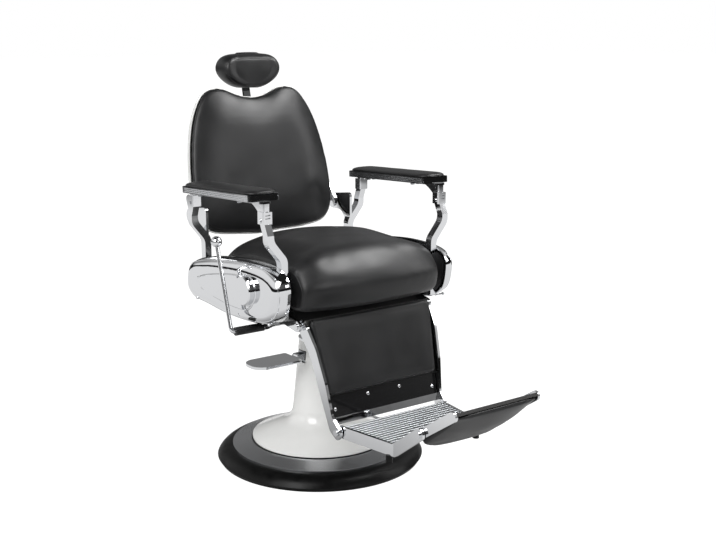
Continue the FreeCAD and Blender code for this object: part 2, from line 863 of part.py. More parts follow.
def seat_cushion():
    shares = [-cos(pi * i / seat_steps) for i in range(seat_steps + 1)]
    return Part.makeLoft([seat_section(share) for share in shares], True, False)


# Arms

def arm_frame(shape):
    """Tilts a shape that was built level at the arm's underside into place."""
    shape.rotate(vec(0, 0, arm_floor), x_axis, -arm_tilt)
    return shape


def above_arm_floor():
    """Everything above the underside of the tray."""
    half = arm_centre + arm_width
    return arm_frame(block(0, half, -2 * arm_front, 2 * arm_back, arm_floor, arm_floor + arm_width))


def arm_tray():
    """Chrome tray on the sitter's left, its long sides with fine flutes."""
    outline = [(arm_centre + x, y) for x, y in rectangle(arm_width / 2, -arm_front, arm_back)]
    tray = prism_z(outline, arm_floor, arm_floor + tray_height, tray_corner)
    grooves = []
    for side in (-1, 1):
        x = arm_centre + side * arm_width / 2
        for i in range(flute_count):
            z = arm_floor + tray_height * (i + 1) / (flute_count + 1)
            grooves.append(bar_along(y_axis, flute_radius, vec(x, -arm_front + tray_corner, z),
                                     arm_front + arm_back - 2 * tray_corner))
    return arm_frame(tray.cut(Part.makeCompound(grooves)))


def arm_pad_wire(z, inset):
    outline = rectangle(arm_width / 2 + pad_overhang - inset, -arm_front - pad_overhang + inset,
                        arm_back + pad_overhang - inset)
    return rounded_wire([vec(arm_centre + x, y, z) for x, y in outline], pad_corner - inset)


def arm_pad():
    """Low crowned pad on the tray, a little wider than it."""
    floor = arm_floor + tray_height + soft_gap
    foot = arm_pad_wire(floor, pad_foot_inset)
    return arm_frame(dome(arm_pad_wire, floor + pad_foot, pad_rise, 0, pad_draw, foot))


def post_section(x, y, z, width, depth):
    outline = [(x + side, y + run) for side, run in rectangle(width / 2, -depth / 2, depth / 2)]
    return rounded_wire([vec(px, py, z) for px, py in outline], 0)


def post_column(low_y, head_y):
    """S-bent post from the side plate up to its head under the tray."""
    low_x = stem_inner + stem_width / 2
    half = stem_width / 2
    swing = atan2(post_upper_x - low_x, post_bend_high - post_bend_low)
    shift = half * tan(swing / 2)
    outline = [(low_x + half, post_foot), (low_x + half, post_bend_low - shift),
               (post_upper_x + half, post_bend_high - shift), (post_upper_x + half, post_bend_high + stem_width),
               (post_upper_x - half, post_bend_high + stem_width), (post_upper_x - half, post_bend_high + shift),
               (low_x - half, post_bend_low + shift), (low_x - half, post_foot)]
    radii = [0, post_bend_radius, post_bend_radius, 0, 0, post_bend_radius, post_bend_radius, 0]
    lower = prism_y(outline, low_y - stem_depth / 2, low_y + stem_depth / 2, radii)
    wires = [post_section(post_upper_x, low_y, post_bend_high + stem_width, stem_width, stem_depth),
             post_section(post_upper_x, head_y, post_head_low + overrun, stem_width, stem_depth)]
    return lower.fuse(Part.makeLoft(wires, True, True))


def post_head(y, facing):
    """Clamp head on the post: a neck under the tray, a slotted block, and a cross boss through its foot."""
    half_x = post_head_width / 2
    half_y = post_head_depth / 2
    block_top = arm_floor - flange_thickness - post_neck_length
    outline = [(post_upper_x + x, y + run) for x, run in rectangle(half_x, -half_y, half_y)]
    head = prism_z(outline, post_head_low, block_top, stem_width / 4)
    half_neck = post_neck_width / 2
    neck_outline = [(post_upper_x + x, y + run) for x, run in rectangle(half_neck, -half_neck, half_neck)]
    neck = prism_z(neck_outline, post_head_low, arm_floor + tray_height, stem_width / 4)
    slots = []
    face_y = y + facing * half_y
    for i in range(post_slot_count):
        z = block_top - post_slot_pitch * (i + 1)
        y0 = min(face_y, face_y - facing * post_slot_depth)
        slots.append(block(post_upper_x - half_x / 2, post_upper_x + half_x / 2, y0, y0 + post_slot_depth,
                           z - post_slot_height / 2, z + post_slot_height / 2))
    boss_start = vec(post_upper_x - half_x - post_ear_stand_out, y, post_head_low + post_ear_rise)
    boss = bar_along(x_axis, post_ear_radius, boss_start, post_head_width + 2 * post_ear_stand_out)
    return head.cut(Part.makeCompound(slots)).fuse([neck, boss])


def post_flange(y0, y1):
    outline = [(post_upper_x + x, y) for x, y in rectangle(flange_width / 2, y0, y1)]
    plate = prism_z(outline, arm_floor - flange_thickness, arm_floor, flange_overhang)
    return arm_frame(plate)


def front_post():
    """Front post on the sitter's left, with a curved fan towards the middle of the arm."""
    column = post_column(front_post_y, front_post_head_y)
    head = post_head(front_post_head_y, -1)
    flange = post_flange(front_post_head_y - stem_depth / 2, front_flange_back)
    low = vec(0, front_post_head_y, post_head_low)
    high = vec(0, front_flange_back - flange_overhang, arm_floor + flange_thickness)
    belly = vec(0, low.y + (high.y - low.y) * fan_run_share, low.z + (high.z - low.z) * fan_rise_share)
    curve = Part.Arc(low, belly, high).toShape()
    corner = vec(0, front_post_head_y, arm_floor + flange_thickness)
    fan = Part.Face(Part.Wire([curve, Part.makePolygon([high, corner, low])]))
    fan = fan.extrude(vec(fan_thickness, 0, 0))
    fan.translate(vec(post_upper_x - fan_thickness / 2, 0, 0))
    return column.fuse([head, fan]).cut(above_arm_floor()).fuse(flange).removeSplitter()


def back_web():
    """Plate that reaches back from the rear post to the pin that the backrest turns on."""
    stem_front = rear_post_y - stem_depth / 2
    stem_rear = rear_post_y + stem_depth / 2
    top = back_pivot_z + web_radius
    points = [(stem_front, post_bend_low), (stem_front, top + web_radius / 2), (back_pivot_y, top),
              (back_pivot_y, back_pivot_z - web_radius), (stem_rear + web_radius, back_pivot_z - web_radius),
              (stem_rear, post_bend_low)]
    plate = prism_x(points, web_inner, web_inner + web_thickness, [0, web_radius / 2, 0, 0, web_radius, 0])
    end = bar_along(x_axis, web_radius, vec(web_inner, back_pivot_y, back_pivot_z), web_thickness)
    return plate.fuse(end)


def rear_post():
    """Rear post on the sitter's left, with the web for the backrest's pin."""
    column = post_column(rear_post_y, rear_post_head_y)
    head = post_head(rear_post_head_y, 1)
    flange = post_flange(rear_flange_front, rear_post_head_y + stem_depth / 2)
    body = column.fuse(head).cut(above_arm_floor()).fuse([flange, back_web()]).removeSplitter()
    box = bar_along(x_axis, back_pin_radius + running_fit,
                    vec(web_inner - overrun, back_pivot_y, back_pivot_z), web_thickness + 2 * overrun)
    return body.cut(box)


def arm_bolts():
    """Bolts up through the flanges, their heads below them."""
    bolts = []
    for y in (front_flange_back - flange_overhang, rear_flange_front + flange_overhang):
        for side in (-1, 1):
            x = post_upper_x + side * (flange_width / 2 - arm_bolt_head_radius)
            head_z = arm_floor - flange_thickness - arm_bolt_head
            bolts += pair(arm_frame(bar_along(z_axis, arm_bolt_head_radius, vec(x, y, head_z), arm_bolt_head)))
    return bolts


def frame_bolts():
    """Bolt heads on the inner face of each post's foot."""
    bolts = []
    for y in (front_post_y, rear_post_y):
        for i in (0, 1):
            z = panel_centre_z + i * post_bolt_pitch
            start = vec(stem_inner - post_bolt_head / 2, y, z)
            bolts += pair(bar_along(x_axis, post_bolt_head_radius, start, post_bolt_head / 2))
    return bolts


# Backrest

tilt_sin = sin(radians(back_tilt))
tilt_cos = cos(radians(back_tilt))


def back_frame(shape):
    """Tilts and places a shape that was built upright, its front face on the XZ plane."""
    shape.rotate(origin, x_axis, -back_tilt)
    shape.translate(vec(0, back_foot_y, back_foot_z))
    return shape


back_shares = [(0.0, -0.110), (0.443, -0.101), (0.670, -0.088), (0.866, -0.051), (0.946, 0.007), (0.978, 0.066),
               (0.998, 0.163), (1.0, 0.255), (0.984, 0.371), (0.956, 0.486), (0.912, 0.600), (0.841, 0.716),
               (0.757, 0.802), (0.665, 0.862), (0.518, 0.890), (0.390, 0.881), (0.247, 0.848), (0.0, 0.822)]


def back_wire(depth, inset):
    """Two-lobed outline of the backrest at one depth, moved inwards by the inset."""
    half = back_half_width - inset
    middle = back_height * back_middle_share
    right = [(x_share * half, middle + (u_share - back_middle_share) * (back_height - 2 * inset))
             for x_share, u_share in back_shares]
    outline = right + [(-x, u) for x, u in reversed(right[1:-1])]
    return smooth_wire([vec(x, depth, u) for x, u in outline])


def back_cushion():
    """Crowned cushion in front of the board, its edge drawn in at the rear."""
    rear = back_wire(back_cushion_depth, back_edge_draw)
    edge = back_cushion_depth / 2
    return back_frame(dome(back_wire, edge, -edge - back_crown, 0, back_crown_draw, rear))


def shell_inside():
    """Space inside the rear shell, which the board fits."""
    return dome(back_wire, back_rim - overrun, shell_depth + overrun - shell_wall, shell_wall, shell_draw)


def shell_body():
    return dome(back_wire, back_rim, shell_depth, 0, shell_draw)


def back_board():
    slab = block(-back_half_width, back_half_width, back_rim, back_rim + back_board_thickness,
                 -back_height, back_height)
    return back_frame(shell_inside().common(slab))


def back_shell():
    """White shell behind the cushion, with a slot where the headrest's bar leaves it."""
    shell = shell_body().cut(shell_inside())
    half = bar_width / 2 + shell_slot_gap
    depth = bar_thickness / 2 + shell_slot_gap
    slot = block(-half, half, bar_depth - depth, bar_depth + depth, socket_top - socket_wall, back_height)
    return back_frame(shell.cut(slot))


def back_point(depth, up):
    """Place in the room, as (y, z), of a point of the backrest's own frame."""
    return (back_foot_y + depth * tilt_cos + up * tilt_sin, back_foot_z - depth * tilt_sin + up * tilt_cos)


def hinge_plate():
    """Chrome strap beside the backrest, with spacers to the shell and the bore for its pin."""
    spacers = []
    for height in hinge_spacer_heights:
        y, z = back_point(hinge_spacer_depth, height)
        spacers.append(bar_along(x_axis, hinge_spacer_radius, vec(back_half_width / 2, y, z),
                                 hinge_plate_inner - back_half_width / 2))
    spacers = Part.makeCompound(spacers).cut(back_frame(shell_body()))
    strap = link((back_pivot_y, back_pivot_z), hinge_plate_width / 2, (y, z), hinge_plate_width / 3,
                 hinge_plate_inner, hinge_plate_inner + hinge_plate_thickness)
    strap = strap.fuse(spacers.Solids).removeSplitter()
    return hole_x(strap, back_pin_radius + running_fit, back_pivot_y, back_pivot_z)


def back_hinges():
    return pair(hinge_plate())


def back_pins():
    start = hinge_plate_inner + soft_gap
    end = web_inner + web_thickness
    shank = bar_along(x_axis, back_pin_radius, vec(start, back_pivot_y, back_pivot_z), end - start)
    head = bar_along(x_axis, back_pin_head_radius, vec(end, back_pivot_y, back_pivot_z), back_pin_head)
    return pair(shank.fuse(head).removeSplitter())


def headrest_socket():
    """Steel channel on the back of the board that the headrest's bar slides in."""
    half = bar_width / 2 + bar_slide_gap
    deep = bar_thickness / 2 + bar_slide_gap
    front = back_rim + back_board_thickness
    outer = block(-half - socket_wall, half + socket_wall, front, bar_depth + deep + socket_wall,
                  socket_bottom, socket_top)
    inner = block(-half, half, bar_depth - deep, bar_depth + deep, socket_bottom - overrun, socket_top + overrun)
    return back_frame(outer.cut(inner))


def headrest_bar():
    """Flat chrome bar with a knuckle at its top for the headrest's pin."""
    half = bar_width / 2
    deep = bar_thickness / 2
    bar = block(-half, half, bar_depth - deep, bar_depth + deep, bar_bottom, bar_top)
    knuckle = bar_along(x_axis, headrest_knuckle_radius, vec(-half, bar_depth, bar_top), bar_width)
    bar = hole_x(bar.fuse(knuckle), headrest_pin_radius + running_fit, bar_depth, bar_top)
    return back_frame(bar.removeSplitter())


headrest_pivot_y, headrest_pivot_z = back_point(bar_depth, bar_top)
headrest_front_y = headrest_pivot_y - headrest_reach
headrest_top = headrest_pivot_z + headrest_rise

headrest_shares = [(0.0, -1.0), (0.22, -0.95), (0.39, -0.77), (0.48, -0.54), (0.49, -0.33), (0.42, -0.11),
                   (0.28, -0.015), (0.0, 0.0)]


def headrest_wire(y, inset):
    """D-shaped outline of the headrest at one depth, moved inwards by the inset."""
    across = headrest_width - 2 * inset
    up = headrest_height - 2 * inset
    right = [(across * x_share, headrest_top - inset + up * z_share) for x_share, z_share in headrest_shares]
    outline = right + [(-x, z) for x, z in reversed(right[1:-1])]
    return smooth_wire([vec(x, y, z) for x, z in outline])


def headrest_notch(gap):
    """Space at the rear of the headrest for its bracket and bar."""
    half = headrest_notch_width / 2 - gap
    front = headrest_pivot_y - headrest_notch_front + gap
    top = headrest_pivot_z + headrest_notch_top - gap
    rear = headrest_front_y + headrest_depth + overrun - gap
    return block(-half, half, front, rear, headrest_top - 2 * headrest_height, top)


def headrest_cushion():
    wires = []
    middle = headrest_front_y + headrest_depth / 2
    for i in range(-dome_steps, dome_steps + 1):
        angle = pi / 2 * i / dome_steps
        wires.append(headrest_wire(middle + headrest_depth / 2 * sin(angle), headrest_edge * (1 - cos(angle))))
    return Part.makeLoft(wires, True, False).cut(headrest_notch(0))


def headrest_bracket():
    """Steel fork in the headrest's notch, with the pin that the bar's knuckle turns on."""
    outer = headrest_notch(soft_gap)
    space = outer.BoundBox
    wall = headrest_ear_thickness
    rear = headrest_pivot_y + headrest_knuckle_radius
    top = block(space.XMin, space.XMax, space.YMin, rear, space.ZMax - headrest_cap_thickness, space.ZMax)
    solids = []
    floor = headrest_pivot_z - headrest_knuckle_radius
    for x0 in (space.XMin, space.XMax - wall):
        solids.append(block(x0, x0 + wall, headrest_pivot_y - 2 * wall, rear, floor, space.ZMax))
    length = space.XLength
    pin_start = vec(space.XMin, headrest_pivot_y, headrest_pivot_z)
    solids.append(bar_along(x_axis, headrest_pin_radius, pin_start, length))
    return top.fuse(solids).removeSplitter()


# Recline lever and lock

def lever_rod():
    """Bent chrome rod: a shaft across the frame, an elbow and the upright."""
    bend = 2 * lever_rod_radius
    lean = atan2(lever_top_y - lever_y, lever_top_z - lever_z)
    foot = vec(-lever_plane, lever_y, lever_z)
    upright = vec(0, sin(lean), cos(lean))
    reach = (lever_top_z - lever_z) / cos(lean) - lever_knob_radius
    start = foot + upright * bend
    rod = bar_along(upright, lever_rod_radius, start, reach - bend)
    corner = foot + x_axis * bend
    middle = foot + (upright + x_axis) * (bend * (1 - cos(pi / 4)))
    arc = Part.Wire([Part.Arc(start, middle, corner).toShape()])
    ring = Part.Wire([Part.makeCircle(lever_rod_radius, start, upright)])
    elbow = arc.makePipeShell([ring], True, True)
    thick = bar_along(x_axis, lever_rod_radius, corner, lever_sleeve_length)
    shaft_end = mount_lug_x - lever_lug_thickness / 2 - lever_shaft_stand_out
    shaft = bar_along(x_axis, lever_shaft_radius, corner, lever_plane - bend - shaft_end)
    return rod.fuse([elbow, thick, shaft]).removeSplitter()


def lever_sleeve():
    """Black grip sleeve on the level part of the rod, its inner end cut at a slant."""
    start = -lever_plane + 2 * lever_rod_radius
    sleeve = bar_along(x_axis, lever_sleeve_radius, vec(start, lever_y, lever_z), lever_sleeve_length)
    end = start + lever_sleeve_length
    wedge = prism_y([(end - lever_sleeve_radius, lever_z + lever_sleeve_radius + overrun),
                     (end + overrun, lever_z + lever_sleeve_radius + overrun),
                     (end + overrun, lever_z - lever_sleeve_radius), (end, lever_z - lever_sleeve_radius)],
                    lever_y - lever_sleeve_radius - overrun, lever_y + lever_sleeve_radius + overrun)
    bore = bar_along(x_axis, lever_rod_radius, vec(start - overrun, lever_y, lever_z),
                     lever_sleeve_length + 2 * overrun)
    return sleeve.cut(wedge).cut(bore)


def lever_knob():
    lean = atan2(lever_top_y - lever_y, lever_top_z - lever_z)
    upright = vec(0, sin(lean), cos(lean))
    top = vec(-lever_plane, lever_top_y, lever_top_z)
    ball = Part.makeSphere(lever_knob_radius, top)
    reach = (lever_top_z - lever_z) / cos(lean) - lever_knob_radius
    rod_end = vec(-lever_plane, lever_y, lever_z) + upright * reach
    seat = bar_along(upright, lever_knob_radius, rod_end - upright * lever_knob_radius, lever_knob_radius)
    return ball.cut(seat)


crank_y = leg_pivot_y + crank_length * sin(radians(crank_angle))
crank_z = leg_pivot_z - crank_length * cos(radians(crank_angle))


def lock_cylinder():
    """Recline lock hung under the seat's flange by two saddles."""
    body = bar_along(y_axis, lock_radius, vec(lock_x, lock_front, crank_z), lock_length)
    saddles = []
    for y0 in (lock_front + lock_saddle, lock_front + lock_length - 2 * lock_saddle):
        saddles.append(block(lock_x - lock_radius, lock_x + lock_radius, y0, y0 + lock_saddle,
                             crank_z, mount_floor))
    bore = bar_along(y_axis, lock_rod_radius + running_fit, vec(lock_x, lock_front - overrun, crank_z),
                     lock_rod_inside + 2 * overrun)
    return body.fuse(saddles).removeSplitter().cut(bore)


def lock_rod():
    """Lock's rod, its eye slotted so that the crank's pin moves freely in it."""
    eye_half_y = lock_slot_width / 2 + lock_eye_wall
    eye_half_z = lock_slot_height / 2 + lock_eye_wall
    half_x = lock_eye_thickness / 2
    eye = prism_x([(crank_y - eye_half_y, crank_z - eye_half_z), (crank_y + eye_half_y, crank_z - eye_half_z),
                   (crank_y + eye_half_y, crank_z + eye_half_z), (crank_y - eye_half_y, crank_z + eye_half_z)],
                  lock_x - half_x, lock_x + half_x, lock_eye_wall)
    slot = block(lock_x - lock_eye_thickness, lock_x + lock_eye_thickness, crank_y - lock_slot_width / 2,
                 crank_y + lock_slot_width / 2, crank_z - lock_slot_height / 2, crank_z + lock_slot_height / 2)
    start_y = crank_y + lock_slot_width / 2 + lock_eye_wall / 2
    rod_length = lock_front + lock_rod_inside - start_y
    rod = bar_along(y_axis, lock_rod_radius, vec(lock_x, start_y, crank_z), rod_length)
    return eye.fuse(rod).cut(slot).removeSplitter()


# Legrest

leg_lean = degrees(atan2(leg_top_x - leg_bottom_x, leg_drop))
leg_bar_shares = [(-0.16, 0.0), (0.27, 0.29), (0.50, 0.66), (0.74, 1.02), (1.0, 1.10), (1.16, 1.0),
                  (0.86, 0.86), (0.72, 0.52), (0.50, 0.20), (0.20, -0.02)]
leg_corner_shares = [0.05, 0.40, 0.50, 0.06, 0.05, 0.05, 0.10, 0.50, 0.30, 0.05]


def legrest_bar():
    """Curved flat bar on the sitter's left, leaning inwards towards its foot."""
    points = [(leg_pivot_y - leg_run * y_share, leg_pivot_z - leg_drop * z_share)
              for y_share, z_share in leg_bar_shares]
    x0 = leg_top_x - leg_bar_thickness / 2
    bar = prism_x(points, x0, x0 + leg_bar_thickness, [leg_drop * share for share in leg_corner_shares])
    end = bar_along(x_axis, leg_end_radius, vec(x0, leg_pivot_y, leg_pivot_z), leg_bar_thickness)
    foot = bar_along(x_axis, foot_end_radius, vec(x0, foot_pivot_y, foot_pivot_z), leg_bar_thickness)
    bar = bar.fuse([end, foot]).removeSplitter()
    bar.rotate(vec(leg_top_x, leg_pivot_y, leg_pivot_z), y_axis, leg_lean)
    bar = hole_x(bar, leg_shaft_radius + running_fit, leg_pivot_y, leg_pivot_z)
    return hole_x(bar, foot_pin_radius + running_fit, foot_pivot_y, foot_pivot_z)


def legrest_bars():
    return pair(legrest_bar())


def legrest_shaft():
    """Shaft that the legrest turns on, welded through two hanger plates on the front rail's face."""
    start = vec(-leg_shaft_half, leg_pivot_y, leg_pivot_z)
    shaft = bar_along(x_axis, leg_shaft_radius, start, 2 * leg_shaft_half)
    hanger = link((leg_pivot_y, leg_pivot_z), hanger_radius, (-rail_spread, mount_top + rail_height / 2),
                  rail_height / 2, hanger_inner, hanger_inner + hanger_thickness)
    behind = block(-side_plate_inner, side_plate_inner, -rail_spread - rail_width / 2, 0, mount_floor,
                   rail_top + rail_height)
    return shaft.fuse([plate.cut(behind) for plate in pair(hanger)]).removeSplitter()


def legrest_tube():
    """Tube that turns on the shaft between the bars, with the crank that works the lock."""
    start = vec(-leg_tube_half, leg_pivot_y, leg_pivot_z)
    tube = bar_along(x_axis, leg_tube_radius, start, 2 * leg_tube_half)
    x0 = lock_x + lock_rod_radius + side_play
    crank = link((leg_pivot_y, leg_pivot_z), leg_tube_radius, (crank_y, crank_z), crank_width / 2,
                 x0, x0 + crank_thickness)
    pin = bar_along(x_axis, crank_pin_radius, vec(lock_x - lock_eye_thickness / 2, crank_y, crank_z),
                    x0 + crank_thickness - lock_x + lock_eye_thickness / 2)
    body = tube.fuse([crank, pin]).removeSplitter()
    return hole_x(body, leg_shaft_radius + running_fit, leg_pivot_y, leg_pivot_z)


def calf_frame(shape):
    """Tilts and places a shape that was built upright, the board's front on the XZ plane."""
    shape.rotate(origin, x_axis, -calf_tilt)
    shape.translate(vec(0, calf_foot_y, calf_foot_z))
    return shape


def bar_inner(z):
    """Distance from the middle to the legrest bars' inner faces at one height."""
    lean_tan = tan(radians(leg_lean))
    return leg_top_x - leg_bar_thickness / 2 / cos(radians(leg_lean)) - lean_tan * (leg_pivot_z - z)


def calf_half(height):
    """Half width between the bars at one height of the calf panel."""
    return bar_inner(calf_foot_z + height * cos(radians(calf_tilt)))


def between_bars():
    """All the space between the inner faces of the two bars."""
    low = foot_pivot_z - crossbar_height
    high = leg_pivot_z + 2 * leg_end_radius
    outline = [(-bar_inner(low), low), (bar_inner(low), low), (bar_inner(high), high), (-bar_inner(high), high)]
    return prism_y(outline, foot_pivot_y, leg_pivot_y)


def calf_outline(low, high, inset):
    """Trapezium between two heights, moved inwards at its sides."""
    low_half = calf_half(low) - inset
    high_half = calf_half(high) - inset
    return [(-low_half, low), (low_half, low), (high_half, high), (-high_half, high)]


def calf_board():
    board = block(-leg_top_x, leg_top_x, 0, calf_board_thickness, 0, calf_length)
    return calf_frame(board).common(between_bars())


calf_depth_shares = [0.02, 0.55, 0.86, 1.0]
calf_draw_shares = [0.4, 0.0, 0.7, 2.6]


def calf_cushion():
    """Thin crowned pad on the calf board above the kick plate."""
    low = kick_height + kick_gap
    wires = []
    for depth_share, draw_share in zip(calf_depth_shares, calf_draw_shares):
        draw = calf_draw * draw_share
        outline = calf_outline(low + draw, calf_length - draw, calf_edge_inset / 2 + draw)
        depth = -calf_cushion_thickness * depth_share
        wires.append(rounded_wire([vec(x, depth, z) for x, z in outline], 2 * calf_edge_inset))
    return calf_frame(Part.makeLoft(wires, True, False))


def kick_plate():
    plate = prism_y(calf_outline(0, kick_height, calf_edge_inset / 2), -kick_thickness, 0, calf_edge_inset / 2)
    return calf_frame(plate)


def kick_screws():
    screws = []
    for share, row_share in zip(kick_screw_x_shares, kick_screw_row_shares):
        height = kick_height * row_share
        start = vec(share * calf_half(height), -kick_thickness - kick_screw_head, height)
        screws.append(calf_frame(bar_along(y_axis, kick_screw_radius, start, kick_screw_head)))
    return screws


def legrest_crossbar():
    bar = block(-leg_top_x, leg_top_x, -crossbar_front, calf_board_thickness, -crossbar_height, 0)
    return calf_frame(bar).common(between_bars())


# Footrest

foot_floor = foot_pivot_z - foot_arm_drop
foot_taper_y = foot_pivot_y - foot_end_radius - side_play


def foot_half(y):
    """Distance from the middle to the arms' inner faces at one depth."""
    slope = (foot_arm_rear_x - foot_arm_front_x) / (foot_taper_y - foot_bend_y)
    run = min(max(foot_taper_y - y, 0), foot_taper_y - foot_bend_y)
    return foot_arm_rear_x - foot_arm_thickness / 2 - run * slope


def foot_arm():
    """Side arm on the sitter's left: tapers inwards, then rises to the flip pad's pin."""
    front = flip_pivot_y - foot_end_radius - overrun
    rear = foot_pivot_y + foot_end_radius + overrun
    depths = [rear, foot_taper_y, foot_bend_y, front]
    inner = [(foot_half(y), y) for y in depths]
    outer = [(foot_half(y) + foot_arm_thickness, y) for y in reversed(depths)]
    plan = prism_z(inner + outer, foot_floor - overrun, flip_pivot_z + foot_end_radius + overrun)
    x0 = foot_arm_front_x - foot_arm_thickness
    x1 = foot_arm_rear_x + foot_arm_thickness
    level = prism_x([(foot_pivot_y, foot_floor), (foot_pivot_y, foot_floor + foot_arm_height),
                     (foot_bend_y, foot_floor + foot_arm_height), (foot_bend_y, foot_floor)], x0, x1)
    end = bar_along(x_axis, foot_end_radius, vec(x0, foot_pivot_y, foot_pivot_z), x1 - x0)
    rise = link((foot_bend_y, foot_floor + foot_arm_height / 2), foot_arm_height / 2,
                (flip_pivot_y, flip_pivot_z), foot_end_radius, x0, x1)
    arm = plan.common(level.fuse([end, rise])).removeSplitter()
    return hole_x(arm, foot_pin_radius + running_fit, flip_pivot_y, flip_pivot_z)


def foot_arms():
    return pair(foot_arm())


def foot_plate():
    """Aluminium tread plate with ribs across it, fitted between the arms."""
    rear_half = foot_half(foot_plate_rear)
    front_half = foot_half(foot_plate_front)
    outline = [(-rear_half, foot_plate_rear), (rear_half, foot_plate_rear), (rear_half, foot_taper_y),
               (front_half, foot_plate_front), (-front_half, foot_plate_front), (-rear_half, foot_taper_y)]
    plate = prism_z(outline, foot_plate_floor, foot_plate_floor + foot_plate_base)
    pitch = (foot_plate_rear - foot_plate_front) / rib_count
    rib_width = pitch * rib_share
    ribs = []
    floor = foot_plate_floor + foot_plate_base / 2
    top = foot_plate_floor + foot_plate_base + rib_height
    for i in range(rib_count):
        y = foot_plate_rear - pitch * (i + 0.5)
        half = foot_half(y - rib_width / 2)
        ribs.append(prism_x([(y - rib_width / 2, floor), (y + rib_width / 2, floor),
                             (y + rib_width / 2, top), (y - rib_width / 2, top)],
                            -half, half, [0, 0, rib_width / 4, rib_width / 4]))
    return plate.fuse(ribs).removeSplitter()


def foot_bumpers():
    """Stub feet under the arms' front corners."""
    x = foot_half(bumper_y) + foot_arm_thickness / 2
    start = vec(x, bumper_y, foot_floor - bumper_height)
    return pair(bar_along(z_axis, bumper_radius, start, bumper_height))


def foot_bolts():
    """Pins of the footrest's fold and of the flip pad, with heads on their outer ends."""
    start = foot_arm_rear_x + foot_arm_thickness / 2
    end = leg_bottom_x + leg_bar_thickness / 2 + 2 * side_play
    fold = bar_along(x_axis, foot_pin_radius, vec(start, foot_pivot_y, foot_pivot_z), end - start)
    fold_head = bar_along(x_axis, foot_pin_head_radius, vec(end, foot_pivot_y, foot_pivot_z), foot_pin_head)
    outer = foot_arm_front_x + foot_arm_thickness / 2
    flip_start = vec(pad_arm_inner, flip_pivot_y, flip_pivot_z)
    flip = bar_along(x_axis, foot_pin_radius, flip_start, outer - pad_arm_inner)
    flip_head = bar_along(x_axis, foot_pin_head_radius, vec(outer, flip_pivot_y, flip_pivot_z), foot_pin_head)
    return pair(fold.fuse(fold_head).removeSplitter()) + pair(flip.fuse(flip_head).removeSplitter())


# Flip-over pad

def pad_frame(shape):
    """Turns and places a shape that was built level, reaching from the pin towards -Y."""
    shape.rotate(origin, x_axis, -pad_slope)
    shape.translate(vec(0, flip_pivot_y, flip_pivot_z))
    return shape


def pad_arm():
    half = pad_arm_width / 2
    arm = link((0, 0), half, (-pad_arm_length + half, 0), half, pad_arm_inner, pad_arm_inner + pad_arm_thickness)
    return hole_x(pad_frame(arm), foot_pin_radius + running_fit, flip_pivot_y, flip_pivot_z)


def pad_arms():
    return pair(pad_arm())


def pad_board():
    outline = rectangle(pad_half_width, -pad_far, -foot_end_radius)
    return pad_frame(prism_z(outline, pad_board_top - pad_board_thickness, pad_board_top))


pad_section_shares = [-1.0, -0.9, -0.5, 0.0, 0.5, 0.9, 1.0]


def pad_cushion():
    """Wedge cushion on the pad's underside, thick at the pin and thin at its far edge."""
    wires = []
    for share in pad_section_shares:
        x = share * (pad_half_width - soft_gap)
        draw = pad_edge_draw * abs(share) ** pad_edge_power
        sag = pad_sag * (1 - share * share)
        top = pad_board_top - pad_board_thickness - soft_gap
        near_floor = top - pad_near_depth - sag + draw
        far_floor = top - pad_far_depth - sag / 4 + draw / 2
        points = [vec(x, -pad_near - draw, top), vec(x, -pad_near - draw, near_floor),
                  vec(x, -pad_far / 2, (near_floor + far_floor) / 2 - sag), vec(x, -pad_far + draw, far_floor),
                  vec(x, -pad_far + draw, top)]
        wires.append(rounded_wire(points, [0, pad_edge_draw, pad_far, pad_far_depth / 2, 0]))
    return pad_frame(Part.makeLoft(wires, True, False))


# Node names and what makes each one; sided nodes are made on the sitter's left and mirrored

single_nodes = [edge_ring, base_plate, base_cover, shroud_gasket, column_shroud, column_cap, pump_housing,
                pump_bolts, pedal_bracket, pump_pedal, piston_rod, swivel_washer, seat_mount, frame_rails,
                frame_bolts, side_frames, pivot_bosses, panel_screws, seat_board, seat_cushion, arm_bolts,
                legrest_shaft, back_pins, lock_cylinder, lever_rod, lever_sleeve, lever_knob, lock_rod,
                back_shell, back_board, back_cushion, back_hinges, headrest_socket, headrest_bar,
                headrest_bracket, headrest_cushion, legrest_bars, legrest_tube, calf_board, calf_cushion,
                kick_plate, kick_screws, legrest_crossbar, foot_plate, foot_arms, foot_bumpers, foot_bolts,
                pad_arms, pad_board, pad_cushion]
sided_nodes = [side_panel, front_post, rear_post, arm_tray, arm_pad]


def write_node(name, made):
    solids = made if isinstance(made, list) else [made]
    shape = Part.makeCompound(solids) if len(solids) > 1 else solids[0]
    shape.exportStep("parts/" + name + ".step")


for maker in single_nodes:
    write_node(maker.__name__, maker())
for maker in sided_nodes:
    left_shape = maker()
    write_node(maker.__name__ + "_left", left_shape)
    write_node(maker.__name__ + "_right", mirrored(left_shape))
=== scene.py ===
import json
from math import cos, pi, radians, sin

import bmesh
import bpy
from mathutils import Matrix, Vector
from mathutils.bvhtree import BVHTree
from mathutils.kdtree import KDTree


